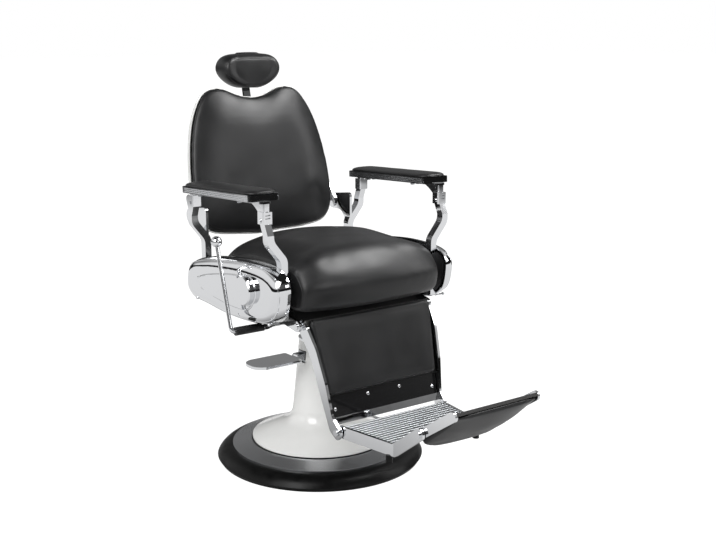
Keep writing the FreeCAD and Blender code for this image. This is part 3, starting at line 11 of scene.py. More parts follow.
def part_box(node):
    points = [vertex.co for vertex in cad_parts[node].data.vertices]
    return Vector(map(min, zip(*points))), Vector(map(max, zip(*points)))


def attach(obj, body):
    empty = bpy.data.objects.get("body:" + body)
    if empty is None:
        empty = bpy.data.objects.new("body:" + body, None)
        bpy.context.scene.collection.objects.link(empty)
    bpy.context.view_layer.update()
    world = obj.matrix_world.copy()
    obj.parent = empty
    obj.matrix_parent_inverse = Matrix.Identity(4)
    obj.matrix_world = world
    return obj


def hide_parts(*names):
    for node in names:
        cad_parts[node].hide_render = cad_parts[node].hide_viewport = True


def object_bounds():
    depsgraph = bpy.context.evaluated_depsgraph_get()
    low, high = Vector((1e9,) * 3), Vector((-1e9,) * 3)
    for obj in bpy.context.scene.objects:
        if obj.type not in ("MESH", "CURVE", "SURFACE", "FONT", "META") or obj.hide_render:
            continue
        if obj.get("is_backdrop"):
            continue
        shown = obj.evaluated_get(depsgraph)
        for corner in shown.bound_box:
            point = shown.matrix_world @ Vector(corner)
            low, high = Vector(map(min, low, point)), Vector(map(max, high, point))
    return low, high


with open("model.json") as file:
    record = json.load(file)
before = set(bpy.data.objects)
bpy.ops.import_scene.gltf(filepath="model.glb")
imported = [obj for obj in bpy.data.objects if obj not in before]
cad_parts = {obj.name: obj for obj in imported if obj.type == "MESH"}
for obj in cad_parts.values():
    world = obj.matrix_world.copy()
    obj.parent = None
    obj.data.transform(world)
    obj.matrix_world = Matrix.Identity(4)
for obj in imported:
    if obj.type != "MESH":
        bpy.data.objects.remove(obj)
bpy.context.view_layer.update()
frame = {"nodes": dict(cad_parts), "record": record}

# Reclining hydraulic salon chair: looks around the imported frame, in metres.

nodes = frame["nodes"]
mm = 0.001
wave_turn = 0.314  # a wave texture of scale 1 repeats at this length
x_axis, y_axis, z_axis = Vector((1, 0, 0)), Vector((0, 1, 0)), Vector((0, 0, 1))


# Node trees

def linear(hex_colour):
    """sRGB hex to linear RGBA."""
    channels = [int(hex_colour[i:i + 2], 16) / 255 for i in (1, 3, 5)]
    return tuple(c / 12.92 if c <= 0.04045 else ((c + 0.055) / 1.055) ** 2.4 for c in channels) + (1.0,)


def add_node(tree, kind, inputs=None, **settings):
    """Adds one node: settings are its own, inputs are its sockets' values or the sockets they come from."""
    node = tree.nodes.new(kind)
    for name, value in settings.items():
        setattr(node, name, value)
    for key, value in (inputs or {}).items():
        if isinstance(value, bpy.types.NodeSocket):
            tree.links.new(value, node.inputs[key])
        else:
            node.inputs[key].default_value = value
    return node


def new_material(name, shader):
    """A material with one principled shader: its tree, its Object coordinates and the shader."""
    made = bpy.data.materials.new(name)
    made.use_nodes = True
    tree = made.node_tree
    tree.nodes.clear()
    place = add_node(tree, "ShaderNodeTexCoord").outputs["Object"]
    surface = add_node(tree, "ShaderNodeBsdfPrincipled", shader)
    add_node(tree, "ShaderNodeOutputMaterial", {"Surface": surface.outputs["BSDF"]})
    return made, tree, place, surface


def vary(tree, surface, fac, roughness=None, colours=None, span=(0.3, 0.7)):
    """Spreads one pattern over the shader's roughness and base colour."""
    if roughness:
        spread = add_node(tree, "ShaderNodeMapRange", {"Value": fac, "From Min": span[0], "From Max": span[1],
                                                       "To Min": roughness[0], "To Max": roughness[1]})
        tree.links.new(spread.outputs["Result"], surface.inputs["Roughness"])
    if colours:
        ramp = add_node(tree, "ShaderNodeValToRGB", {"Fac": fac})
        for element, position, colour in zip(ramp.color_ramp.elements, span, colours):
            element.position = position
            element.color = linear(colour)
        tree.links.new(ramp.outputs["Color"], surface.inputs["Base Color"])


def raise_skin(tree, surface, height, depth, strength=1.0, under=None):
    """Bump of a real depth from one pattern, on top of another bump if there is one."""
    inputs = {"Height": height, "Distance": depth, "Strength": strength}
    if under:
        inputs["Normal"] = under.outputs["Normal"]
    bump = add_node(tree, "ShaderNodeBump", inputs)
    tree.links.new(bump.outputs["Normal"], surface.inputs["Normal"])
    return bump


def leatherette():
    """Black vinyl leatherette, embossed: soft broad sheen broken by a fine pebble grain, in places a little
    shinier from use. The real grain is about 1 mm; it is drawn at 1.8 mm so that it shows."""
    made, tree, place, surface = new_material("black vinyl leatherette", {
        "Base Color": linear("#151516"), "Specular IOR Level": 0.42, "Sheen Weight": 0.02,
        "Sheen Roughness": 0.4, "Coat Weight": 0.03, "Coat Roughness": 0.35})
    handled = add_node(tree, "ShaderNodeTexNoise", {"Vector": place, "Scale": 1 / (90 * mm), "Detail": 3.0})
    vary(tree, surface, handled.outputs["Fac"], (0.36, 0.46), ("#101011", "#161617"))
    creases = add_node(tree, "ShaderNodeTexNoise", {"Vector": place, "Scale": 1 / (16 * mm), "Detail": 2.0})
    soft = raise_skin(tree, surface, creases.outputs["Fac"], 0.5 * mm, 0.1)
    pebbles = add_node(tree, "ShaderNodeTexVoronoi", {"Vector": place, "Scale": 1 / (1.8 * mm)},
                       feature="SMOOTH_F1")
    raise_skin(tree, surface, pebbles.outputs["Distance"], 0.12 * mm, 0.5, soft)
    return made


def thread():
    """Bonded nylon sewing thread: black, with a slight shine along its twist."""
    made, tree, place, surface = new_material("bonded nylon thread", {"Base Color": linear("#101011"),
                                                                      "Roughness": 0.45})
    twist = add_node(tree, "ShaderNodeTexWave", {"Vector": place, "Scale": 1 / (9 * mm)}, wave_type="BANDS",
                     bands_direction="DIAGONAL")
    vary(tree, surface, twist.outputs["Fac"], (0.4, 0.6), ("#0d0d0e", "#1b1b1c"))
    return made


def polished_chrome():
    """Bright chrome plate over a polished casting: a clear mirror with faint wipe marks, barely wavy."""
    made, tree, place, surface = new_material("polished chrome plate", {"Base Color": linear("#e2e3e5"),
                                                                        "Metallic": 1.0})
    haze = add_node(tree, "ShaderNodeTexNoise", {"Vector": place, "Scale": 1 / (45 * mm), "Detail": 4.0})
    vary(tree, surface, haze.outputs["Fac"], (0.03, 0.075))
    ripple = add_node(tree, "ShaderNodeTexNoise", {"Vector": place, "Scale": 1 / (38 * mm), "Detail": 1.0})
    raise_skin(tree, surface, ripple.outputs["Fac"], 0.35 * mm, 0.35)
    return made


def spun_chrome():
    """Spun steel dish with satin chrome: turning lines 1.5 mm apart stretch the lights into wedges."""
    made, tree, place, surface = new_material("spun satin chrome", {
        "Base Color": linear("#c9cacc"), "Metallic": 1.0, "Anisotropic": 0.75})
    tangent = add_node(tree, "ShaderNodeTangent", direction_type="RADIAL", axis="Z")
    tree.links.new(tangent.outputs["Tangent"], surface.inputs["Tangent"])
    lines = add_node(tree, "ShaderNodeTexWave", {"Vector": place, "Scale": wave_turn / (1.5 * mm),
                                                 "Distortion": 0.4, "Detail": 2.0},
                     wave_type="RINGS", rings_direction="Z")
    vary(tree, surface, lines.outputs["Fac"], (0.2, 0.3), ("#bfc0c3", "#cfd0d2"))
    raise_skin(tree, surface, lines.outputs["Fac"], 0.03 * mm, 0.3)
    return made


def white_enamel():
    """White stoving enamel sprayed on a pressed shell: even gloss with a slight orange peel of 3 mm."""
    made, tree, place, surface = new_material("white stoving enamel", {
        "Base Color": linear("#ececea"), "Coat Weight": 0.4, "Coat Roughness": 0.06})
    film = add_node(tree, "ShaderNodeTexNoise", {"Vector": place, "Scale": 1 / (70 * mm), "Detail": 2.0})
    vary(tree, surface, film.outputs["Fac"], (0.16, 0.24), ("#e9e9e7", "#eeeeec"))
    peel = add_node(tree, "ShaderNodeTexNoise", {"Vector": place, "Scale": 1 / (3 * mm), "Detail": 1.0})
    raise_skin(tree, surface, peel.outputs["Fac"], 0.03 * mm, 0.4)
    return made


def white_moulding():
    """White gloss ABS, vacuum formed: a softer gloss than enamel, with a faint draw texture."""
    made, tree, place, surface = new_material("white gloss ABS", {"Base Color": linear("#ebebe9"),
                                                                  "IOR": 1.53})
    draw = add_node(tree, "ShaderNodeTexNoise", {"Vector": place, "Scale": 1 / (55 * mm), "Detail": 2.0})
    vary(tree, surface, draw.outputs["Fac"], (0.22, 0.27), ("#eaeae8", "#ededeb"))
    skin = add_node(tree, "ShaderNodeTexNoise", {"Vector": place, "Scale": 1 / (2.2 * mm), "Detail": 1.0})
    raise_skin(tree, surface, skin.outputs["Fac"], 0.03 * mm, 0.35)
    return made


def moulded_rubber():
    """Black moulded rubber: deep black with a dull band of light, finely mottled."""
    made, tree, place, surface = new_material("black moulded rubber", {"Base Color": linear("#0c0c0c"),
                                                                       "Specular IOR Level": 0.16})
    bloom = add_node(tree, "ShaderNodeTexNoise", {"Vector": place, "Scale": 1 / (30 * mm), "Detail": 5.0})
    vary(tree, surface, bloom.outputs["Fac"], (0.28, 0.42), ("#060606", "#0d0d0d"))
    skin = add_node(tree, "ShaderNodeTexNoise", {"Vector": place, "Scale": 1 / (1.5 * mm), "Detail": 2.0})
    raise_skin(tree, surface, skin.outputs["Fac"], 0.06 * mm, 0.4)
    return made


def machined_steel():
    """Turned and ground steel, bright: fine tool marks 0.8 mm apart that blur its highlights."""
    made, tree, place, surface = new_material("turned bright steel", {"Base Color": linear("#a7a9ac"),
                                                                      "Metallic": 1.0})
    squeezed = add_node(tree, "ShaderNodeMapping", {"Vector": place, "Scale": (1.0, 1.0, 6.0)})
    marks = add_node(tree, "ShaderNodeTexNoise", {"Vector": squeezed.outputs["Vector"], "Scale": 1 / (5 * mm),
                                                  "Detail": 3.0})
    vary(tree, surface, marks.outputs["Fac"], (0.2, 0.36), ("#9b9da0", "#b0b2b5"))
    raise_skin(tree, surface, marks.outputs["Fac"], 0.03 * mm, 0.4)
    return made


def powder_coat():
    """Satin black powder coat on welded steel: an even stipple of about 1 mm and a low sheen."""
    made, tree, place, surface = new_material("satin black powder coat", {"Base Color": linear("#161617")})
    film = add_node(tree, "ShaderNodeTexNoise", {"Vector": place, "Scale": 1 / (25 * mm), "Detail": 3.0})
    vary(tree, surface, film.outputs["Fac"], (0.38, 0.52), ("#131314", "#1c1c1d"))
    stipple = add_node(tree, "ShaderNodeTexVoronoi", {"Vector": place, "Scale": 1 / (1.2 * mm)},
                       feature="SMOOTH_F1")
    raise_skin(tree, surface, stipple.outputs["Distance"], 0.1 * mm, 0.45)
    return made


def black_board():
    """Birch plywood lacquered black: satin film with the veneer's narrow grain just showing through it."""
    made, tree, place, surface = new_material("black lacquered plywood", {"Base Color": linear("#121212")})
    along = add_node(tree, "ShaderNodeMapping", {"Vector": place, "Scale": (0.06, 1.0, 1.0)})
    grain = add_node(tree, "ShaderNodeTexNoise", {"Vector": along.outputs["Vector"], "Scale": 1 / (4 * mm),
                                                  "Detail": 6.0, "Distortion": 0.3})
    vary(tree, surface, grain.outputs["Fac"], (0.42, 0.6), ("#0e0e0e", "#1b1a19"))
    raise_skin(tree, surface, grain.outputs["Fac"], 0.1 * mm, 0.35)
    return made


def gloss_laminate():
    """Gloss black phenolic sheet: a dark mirror, with light scuffs from shoes."""
    made, tree, place, surface = new_material("gloss black laminate", {
        "Base Color": linear("#0b0b0c"), "Coat Weight": 0.3, "Coat Roughness": 0.04})
    stretched = add_node(tree, "ShaderNodeMapping", {"Vector": place, "Scale": (0.2, 1.0, 1.0)})
    scuffs = add_node(tree, "ShaderNodeTexNoise", {"Vector": stretched.outputs["Vector"],
                                                   "Scale": 1 / (6 * mm), "Detail": 5.0})
    vary(tree, surface, scuffs.outputs["Fac"], (0.06, 0.2), ("#0a0a0b", "#111112"), (0.5, 0.8))
    raise_skin(tree, surface, scuffs.outputs["Fac"], 0.03 * mm, 0.2)
    return made


def grip_plastic():
    """Black PVC grip sleeve: matt, with the fine stipple of its mould, drawn at 1 mm."""
    made, tree, place, surface = new_material("black grip PVC", {"Base Color": linear("#111112")})
    wear = add_node(tree, "ShaderNodeTexNoise", {"Vector": place, "Scale": 1 / (12 * mm), "Detail": 3.0})
    vary(tree, surface, wear.outputs["Fac"], (0.35, 0.55), ("#0e0e0f", "#181819"))
    stipple = add_node(tree, "ShaderNodeTexVoronoi", {"Vector": place, "Scale": 1 / (1 * mm)})
    raise_skin(tree, surface, stipple.outputs["Distance"], 0.08 * mm, 0.4)
    return made


def brushed_aluminium():
    """Extruded tread aluminium, brushed along its ribs: streaks that draw the light out sideways."""
    made, tree, place, surface = new_material("brushed aluminium", {"Base Color": linear("#b9bbbe"),
                                                                    "Metallic": 1.0})
    along = add_node(tree, "ShaderNodeMapping", {"Vector": place, "Scale": (0.03, 1.0, 1.0)})
    streaks = add_node(tree, "ShaderNodeTexNoise", {"Vector": along.outputs["Vector"],
                                                    "Scale": 1 / (1.2 * mm), "Detail": 3.0})
    vary(tree, surface, streaks.outputs["Fac"], (0.3, 0.38), ("#a6a8ab", "#bcbec0"))
    raise_skin(tree, surface, streaks.outputs["Fac"], 0.004 * mm, 0.1)
    return made


def sand_cast_iron():
    """Painted sand-cast iron: rough grey-black skin with 2 mm lumps."""
    made, tree, place, surface = new_material("sand-cast iron", {"Base Color": linear("#29292a")})
    skin = add_node(tree, "ShaderNodeTexNoise", {"Vector": place, "Scale": 1 / (2 * mm), "Detail": 4.0})
    vary(tree, surface, skin.outputs["Fac"], (0.6, 0.8), ("#222223", "#323233"))
    raise_skin(tree, surface, skin.outputs["Fac"], 0.3 * mm, 0.5)
    return made


finishes = {
    "black_leather": leatherette(), "polished_chrome": polished_chrome(), "satin_chrome": spun_chrome(),
    "white_enamel": white_enamel(), "white_shell": white_moulding(), "edge_rubber": moulded_rubber(),
    "machined_steel": machined_steel(), "frame_black": powder_coat(), "black_board": black_board(),
    "kick_gloss": gloss_laminate(), "grip_black": grip_plastic(), "tread_aluminium": brushed_aluminium(),
    "cast_base": sand_cast_iron(),
}
sewing_thread = thread()
for row in frame["record"]["subparts"]:
    mesh = nodes[row["node"]].data
    mesh.materials.clear()
    mesh.materials.append(finishes[row["material_slot"]])


# Meshes

def new_piece(name, mesh, finish):
    """An object at the origin around one mesh."""
    piece = bpy.data.objects.new(name, mesh)
    bpy.context.scene.collection.objects.link(piece)
    mesh.name = name
    mesh.materials.clear()
    mesh.materials.append(finish)
    return piece


def applied(piece):
    """The piece with its modifiers turned into plain mesh."""
    graph = bpy.context.evaluated_depsgraph_get()
    mesh = bpy.data.meshes.new_from_object(piece.evaluated_get(graph), depsgraph=graph)
    piece.modifiers.clear()
    if piece.type == "MESH":
        piece.data = mesh
        return piece
    made = new_piece(piece.name, mesh, piece.data.materials[0])
    name = piece.name
    bpy.data.objects.remove(piece)
    made.name = name
    return made


def joined(node):
    """BMesh of a CAD node with its loose triangles joined."""
    form = bmesh.new()
    form.from_mesh(nodes[node].data)
    bmesh.ops.remove_doubles(form, verts=form.verts, dist=0.01 * mm)
    return form


def merged_copy(node):
    """Copy of a CAD node's mesh with its loose triangles joined."""
    form = joined(node)
    mesh = bpy.data.meshes.new(node)
    form.to_mesh(mesh)
    form.free()
    return mesh


def skin_of(mesh):
    """Search tree over a mesh's faces."""
    return BVHTree.FromPolygons([v.co for v in mesh.vertices], [p.vertices for p in mesh.polygons])


def seam_hits(skin, centre, across, up, reach, count=240):
    """Points of a skin, with its normals, where rays in one plane that come in from a reach away towards the
    centre meet it."""
    hits = []
    for i in range(count):
        angle = 2 * pi * i / count
        direction = across * cos(angle) + up * sin(angle)
        place, normal, _, _ = skin.ray_cast(centre + direction * reach, -direction)
        if place is not None:
            hits.append((place, normal))
    return hits


def even_swell(mesh, start, held, swell, rounds=24, own_share=0.4):
    """Caps how far the simulation moved each point, and spreads the swelling evenly, as on a taut cover."""
    travel = [vertex.co - place for vertex, place in zip(mesh.vertices, start)]
    travel = [move * min(1.0, swell / max(move.length, 1e-9)) for move in travel]
    beside = [[] for _ in travel]
    for edge in mesh.edges:
        a, b = edge.vertices
        beside[a].append(b)
        beside[b].append(a)
    for _ in range(rounds):
        travel = [move if i in held or not beside[i] else
                  move * own_share
                  + sum((travel[j] for j in beside[i]), Vector()) * ((1 - own_share) / len(beside[i]))
                  for i, move in enumerate(travel)]
    for vertex, place, move in zip(mesh.vertices, start, travel):
        vertex.co = place + move


def even_skin(piece, voxel, rounding):
    """Gives a piece a skin of even quads and softens its corners, more with each round of rounding."""
    remesh = piece.modifiers.new("remesh", "REMESH")
    remesh.mode = "VOXEL"
    remesh.voxel_size = voxel
    applied(piece)
    form = bmesh.new()
    form.from_mesh(piece.data)
    for _ in range(rounding):
        bmesh.ops.smooth_vert(form, verts=form.verts, factor=0.5, use_axis_x=True, use_axis_y=True,
                              use_axis_z=True)
    form.to_mesh(piece.data)
    form.free()


def held_points(mesh, seams, rests, near):
    """Points of a skin that stay put: where it rests, and near its seams."""
    skin = skin_of(mesh)
    seam_places = [place for seam in seams for place, _ in seam_hits(skin, *seam)]
    seam_tree = KDTree(len(seam_places))
    for i, place in enumerate(seam_places):
        seam_tree.insert(place, i)
    seam_tree.balance()
    return {v.index for v in mesh.vertices if rests(v.co) or seam_tree.find(v.co)[2] < near}


def blow_up(piece, held, frames=20):
    """Cloth simulation of the skin under pressure from inside, with the held points pinned."""
    piece.vertex_groups.new(name="held").add(sorted(held), 1.0, "REPLACE")
    cloth = piece.modifiers.new("padding", "CLOTH")
    cloth.settings.use_pressure = True
    cloth.settings.uniform_pressure_force = 4.0
    cloth.settings.quality = 5
    cloth.settings.effector_weights.gravity = 0.0
    cloth.settings.vertex_group_mass = "held"
    cloth.point_cache.frame_start = 1
    cloth.point_cache.frame_end = frames
    for frame_number in range(1, frames + 1):
        bpy.context.scene.frame_set(frame_number)
    applied(piece)
    bpy.context.scene.frame_set(1)
    piece.vertex_groups.clear()


def cushion(name, node, body, seams, rests, shrink, swell, voxel, shape=None, rounding=3):
    """Padded piece in place of a CAD solid; gives its skin. The skin is drawn in by the shrink, then blown up
    by a cloth simulation, held along its seams and where it rests; it moves by the swell at the most."""
    piece = new_piece(name, merged_copy(node), finishes["black_leather"])
    even_skin(piece, voxel, rounding)
    mesh = piece.data
    if shape:
        for vertex in mesh.vertices:
            vertex.co = shape(vertex.co)
    held = held_points(mesh, seams, rests, 1.3 * voxel)
    moved = [v.co - v.normal * (0 if rests(v.co) else shrink) for v in mesh.vertices]
    for vertex, place in zip(mesh.vertices, moved):
        vertex.co = place
    blow_up(piece, held)
    even_swell(piece.data, moved, held, swell)
    finer = piece.modifiers.new("finer", "SUBSURF")
    finer.levels = finer.render_levels = 1
    applied(piece)
    piece.data.materials.clear()
    piece.data.materials.append(finishes["black_leather"])
    piece.data.shade_smooth()
    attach(piece, body)
    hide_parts(node)
    return skin_of(piece.data)


def piping(name, paths, radius, body, sunk=0.5, slot="black_leather"):
    """Round welt or bead along paths of a skin's points and normals, sunk by a share of its radius."""
    line = bpy.data.curves.new(name, "CURVE")
    line.dimensions = "3D"
    line.bevel_depth = radius
    line.bevel_resolution = 3
    line.use_fill_caps = True
    for path, closed in paths:
        spline = line.splines.new("POLY")
        spline.points.add(len(path) - 1)
        spline.use_cyclic_u = closed
        for point, (place, normal) in zip(spline.points, path):
            point.co = (*(place - normal * radius * sunk), 1)
    line.materials.append(finishes[slot])
    rough = bpy.data.objects.new(name, line)
    bpy.context.scene.collection.objects.link(rough)
    piece = applied(rough)
    piece.data.shade_smooth()
    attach(piece, body)


# Cushions

wide_reach, calf_reach, small_reach = 0.5, 0.4, 0.3

seat_middle_y = -0.055
seat_middle_z = 0.60
seat_welt_x = 0.2345
seat_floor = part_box("seat_cushion")[0].z
seat_rest_height = 5 * mm
seat_welt_end = 6 * mm


def seat_seams(x):
    """Seams round the seat in the planes at x on both sides."""
    return [(Vector((way * x, seat_middle_y, seat_middle_z)), y_axis, z_axis, wide_reach) for way in (-1, 1)]


def seat_rests(place):
    return place.z < seat_floor + seat_rest_height


seat_skin = cushion("seat_cover", "seat_cushion", "chair", seat_seams(seat_welt_x), seat_rests, shrink=3 * mm,
                    swell=7 * mm, voxel=6 * mm, rounding=28)
seat_paths = []
for seam in seat_seams(seat_welt_x):
    hits = [hit for hit in seam_hits(seat_skin, *seam) if hit[0].z > seat_floor + seat_welt_end]
    low_rear = max(range(len(hits)), key=lambda i: (hits[i][0] - hits[i - 1][0]).length)
    seat_paths.append((hits[low_rear:] + hits[:low_rear], False))
piping("seat_welts", seat_paths, 2.3 * mm, "chair")

back_tilt = radians(13)
back_up = Vector((0, sin(back_tilt), cos(back_tilt)))
back_in = Vector((0, cos(back_tilt), -sin(back_tilt)))
back_foot = Vector((0, 0.263, 0.700))
back_middle_height = 0.185
back_welt_depth = 9 * mm
back_rest_depth = 19 * mm


def back_seam(depth):
    """Seam round the back in the plane at a depth behind its face."""
    return back_foot + back_up * back_middle_height + back_in * depth, x_axis, back_up, wide_reach


def back_rests(place):
    return (place - back_foot).dot(back_in) > back_rest_depth


back_skin = cushion("back_cover", "back_cushion", "backrest", [back_seam(back_welt_depth)], back_rests,
                    shrink=4 * mm, swell=6 * mm, voxel=6 * mm, rounding=8)
piping("back_welt", [(seam_hits(back_skin, *back_seam(back_welt_depth)), True)], 2 * mm, "backrest")

head_low, head_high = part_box("headrest_cushion")
head_width, _, head_height = head_high - head_low
head_middle_share = 0.62
head_middle = Vector((0, (head_low.y + head_high.y) / 2, head_low.z + head_middle_share * head_height))
head_panel_width_share, head_panel_height_share = 0.40, 0.56
head_dish_depth = 6 * mm
head_dish_steepness = 2.2
head_welt_depth = 11 * mm
head_rest_depth = 4 * mm


def head_panel(place):
    """Dishes the headrest's front panel inside its welt."""
    if place.y > head_middle.y:
        return place
    across = place.x / (head_panel_width_share * head_width)
    above = (place.z - head_middle.z) / (head_panel_height_share * head_height)
    inside = max(0.0, 1 - (across * across + above * above))
    return place + y_axis * head_dish_depth * min(1.0, head_dish_steepness * inside)


def head_rests(place):
    return place.y > head_high.y - head_rest_depth


head_seam = (Vector((0, head_low.y + head_welt_depth, head_middle.z)), x_axis, z_axis, small_reach)
head_skin = cushion("headrest_cover", "headrest_cushion", "headrest", [head_seam], head_rests, shrink=3 * mm,
                    swell=4.5 * mm, voxel=4 * mm, shape=head_panel)
piping("headrest_welt", [(seam_hits(head_skin, *head_seam), True)], 1.8 * mm, "headrest")

calf_tilt = radians(16.5)
calf_foot = Vector((0, -0.322, 0.241))
calf_up = Vector((0, sin(calf_tilt), cos(calf_tilt)))
calf_out = Vector((0, -cos(calf_tilt), sin(calf_tilt)))
calf_middle_height = 0.168
calf_welt_height = 12 * mm
calf_rest_height = 4 * mm


def calf_rests(place):
    return (place - calf_foot).dot(calf_out) < calf_rest_height


calf_seam = (calf_foot + calf_up * calf_middle_height + calf_out * calf_welt_height, x_axis, calf_up,
             calf_reach)
calf_skin = cushion("calf_cover", "calf_cushion", "legrest", [calf_seam], calf_rests, shrink=2 * mm,
                    swell=3 * mm, voxel=4 * mm)
piping("calf_welt", [(seam_hits(calf_skin, *calf_seam), True)], 1.6 * mm, "legrest")

pad_slope = radians(33.5)
pad_pin = Vector((0, -0.648, 0.283))
pad_along = Vector((0, -cos(pad_slope), sin(pad_slope)))
pad_down = Vector((0, -sin(pad_slope), -cos(pad_slope)))
pad_middle_reach = 0.09
pad_welt_depth = 8 * mm
pad_rest_depth = 7 * mm


def pad_rests(place):
    return (place - pad_pin).dot(pad_down) < pad_rest_depth


pad_seam = (pad_pin + pad_along * pad_middle_reach + pad_down * pad_welt_depth, x_axis, pad_along,
            small_reach)
pad_skin = cushion("foot_pad_cover", "pad_cushion", "foot_pad", [pad_seam], pad_rests, shrink=2 * mm,
                   swell=3 * mm, voxel=4 * mm)
piping("foot_pad_welt", [(seam_hits(pad_skin, *pad_seam), True)], 1.6 * mm, "foot_pad")

arm_tilt = radians(2.5)
arm_up = Vector((0, sin(arm_tilt), cos(arm_tilt)))
arm_along = Vector((0, cos(arm_tilt), -sin(arm_tilt)))
arm_x = 0.2955
tray_depth = 18 * mm
tray_top = Vector((0, 0, 0.8166)) + arm_up * tray_depth
arm_welt_height = 5 * mm
arm_rest_height = 3 * mm


def arm_rests(place):
    return (place - tray_top).dot(arm_up) < arm_rest_height


for side, way in (("left", 1), ("right", -1)):
    arm_seam = (tray_top + x_axis * way * arm_x + arm_up * arm_welt_height, x_axis, arm_along, small_reach)
    arm_skin = cushion("arm_cover_" + side, "arm_pad_" + side, "chair", [arm_seam], arm_rests,
                       shrink=1.5 * mm, swell=2.5 * mm, voxel=4 * mm)
    piping("arm_welt_" + side, [(seam_hits(arm_skin, *arm_seam), True)], 1.3 * mm, "chair")


# Dark strip of leatherette across the gap under the seat's front edge: a sheet that stands in for the shade
# between seat and legrest, painted shade

shade_strip_middle = (0, -0.1875, 0.4985)
shade_strip_width, shade_strip_thickness, shade_strip_height = 0.438, 2.5 * mm, 0.044
shade_strip_edge = 1 * mm
form = bmesh.new()
bmesh.ops.create_cube(form, size=1.0, matrix=Matrix.Translation(shade_strip_middle)
                      @ Matrix.Diagonal((shade_strip_width, shade_strip_thickness, shade_strip_height, 1)))
bmesh.ops.bevel(form, geom=form.edges, offset=shade_strip_edge, segments=2, affect="EDGES")
bmesh.ops.recalc_face_normals(form, faces=form.faces)
shade_strip_mesh = bpy.data.meshes.new("seat_gap_shade_strip")
form.to_mesh(shade_strip_mesh)
form.free()
# painted shade: a dark sheet in the gap where only shade falls under the seat's nose
shade_strip = new_piece("seat_gap_shade_strip", shade_strip_mesh, finishes["black_leather"])
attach(shade_strip, "chair")


# Beads cast on the chrome side panels

leaf_shares = [(0.51, -0.04), (0.46, -0.24), (0.397, -0.326), (0.187, -0.424), (0.02, -0.478), (-0.20, -0.50),
               (-0.377, -0.446), (-0.48, -0.217), (-0.507, 0.109), (-0.473, 0.38), (-0.407, 0.457),
               (-0.30, 0.478), (-0.12, 0.435), (0.157, 0.293), (0.35, 0.163), (0.46, 0.054)]
rim_shares = [(0.500, -0.110), (0.481, -0.333), (0.413, -0.417), (0.288, -0.444), (0.155, -0.478),
              (-0.015, -0.500), (-0.186, -0.483), (-0.318, -0.428), (-0.419, -0.333), (-0.475, -0.183),
              (-0.500, 0.056), (-0.496, 0.289), (-0.460, 0.394), (-0.394, 0.467), (-0.299, 0.494),
              (-0.129, 0.489), (0.042, 0.444), (0.212, 0.378), (0.345, 0.300), (0.439, 0.206), (0.487, 0.067)]


def smooth_loop(corners, steps=12):
    """Closed smooth line through points in a plane."""
    line = []
    for i, b in enumerate(corners):
        a, c, d = corners[i - 1], corners[(i + 1) % len(corners)], corners[(i + 2) % len(corners)]
        for step in range(steps):
            t = step / steps
            line.append(tuple(0.5 * (2 * b[k] + (c[k] - a[k]) * t
                                     + (2 * a[k] - 5 * b[k] + 4 * c[k] - d[k]) * t ** 2
                                     + (3 * b[k] - a[k] - 3 * c[k] + d[k]) * t ** 3) for k in (0, 1)))
    return line


def panel_line(skin, way, outline):
    """Points and normals where a line drawn in side view meets the outside of a panel."""
    hits = []
    for y, z in outline:
        place, normal, _, _ = skin.ray_cast(Vector((way * wide_reach, y, z)), Vector((-way, 0, 0)))
        if place is not None and way * place.x > panel_inside:
            hits.append((place, normal if normal.x * way > 0 else -normal))
    return hits


panel_inside = 0.25
panel_z = 0.560
rim_length, rim_height = 0.494, 0.160
leaf_y, leaf_length, leaf_height = 0.012, 0.304, 0.096
boss_y, boss_z, boss_radius, boss_steps = -0.107, 0.573, 0.0425, 96
bead_sunk_share = 0.35
leaf_outline = smooth_loop([(leaf_y + leaf_length * y, panel_z + leaf_height * z) for y, z in leaf_shares])
rim_outline = smooth_loop([(rim_length * y, panel_z + rim_height * z) for y, z in rim_shares])
boss_angles = [2 * pi * i / boss_steps for i in range(boss_steps)]
boss_outline = [(boss_y + boss_radius * cos(turn), boss_z + boss_radius * sin(turn)) for turn in boss_angles]
for side, way in (("left", 1), ("right", -1)):
    panel_skin = skin_of(merged_copy("side_panel_" + side))
    for bead, outline, radius in (("leaf_bead_", leaf_outline, 3 * mm), ("rim_bead_", rim_outline, 2.6 * mm),
                                  ("boss_bead_", boss_outline, 2.6 * mm)):
        piping(bead + side, [(panel_line(panel_skin, way, outline), True)], radius, "chair", bead_sunk_share,
               "polished_chrome")


# Fasteners and stitches

def islands(node):
    """Lowest and highest corners and the middle of each loose part of a CAD node."""
    form = joined(node)
    left = set(form.verts)
    parts = []
    while left:
        part, edge_of_part = set(), [left.pop()]
        while edge_of_part:
            vertex = edge_of_part.pop()
            part.add(vertex)
            for edge in vertex.link_edges:
                other = edge.other_vert(vertex)
                if other in left:
                    left.discard(other)
                    edge_of_part.append(other)
        points = [v.co.copy() for v in part]
        low = Vector(min(p[i] for p in points) for i in range(3))
        high = Vector(max(p[i] for p in points) for i in range(3))
        parts.append((low, high, (low + high) / 2))
    form.free()
    return sorted(parts, key=lambda part: tuple(round(c, 4) for c in part[2]))


def new_tree(name, sizes):
    """A Geometry Nodes tree with one geometry in and out and named sizes, and their sockets' identifiers."""
    tree = bpy.data.node_groups.new(name, "GeometryNodeTree")
    tree.interface.new_socket("Geometry", in_out="INPUT", socket_type="NodeSocketGeometry")
    tree.interface.new_socket("Geometry", in_out="OUTPUT", socket_type="NodeSocketGeometry")
    keys = {}
    for size_name, kind in sizes.items():
        socket = tree.interface.new_socket(size_name, in_out="INPUT", socket_type="NodeSocket" + kind)
        keys[size_name] = socket.identifier
    return tree, keys, add_node(tree, "NodeGroupInput")


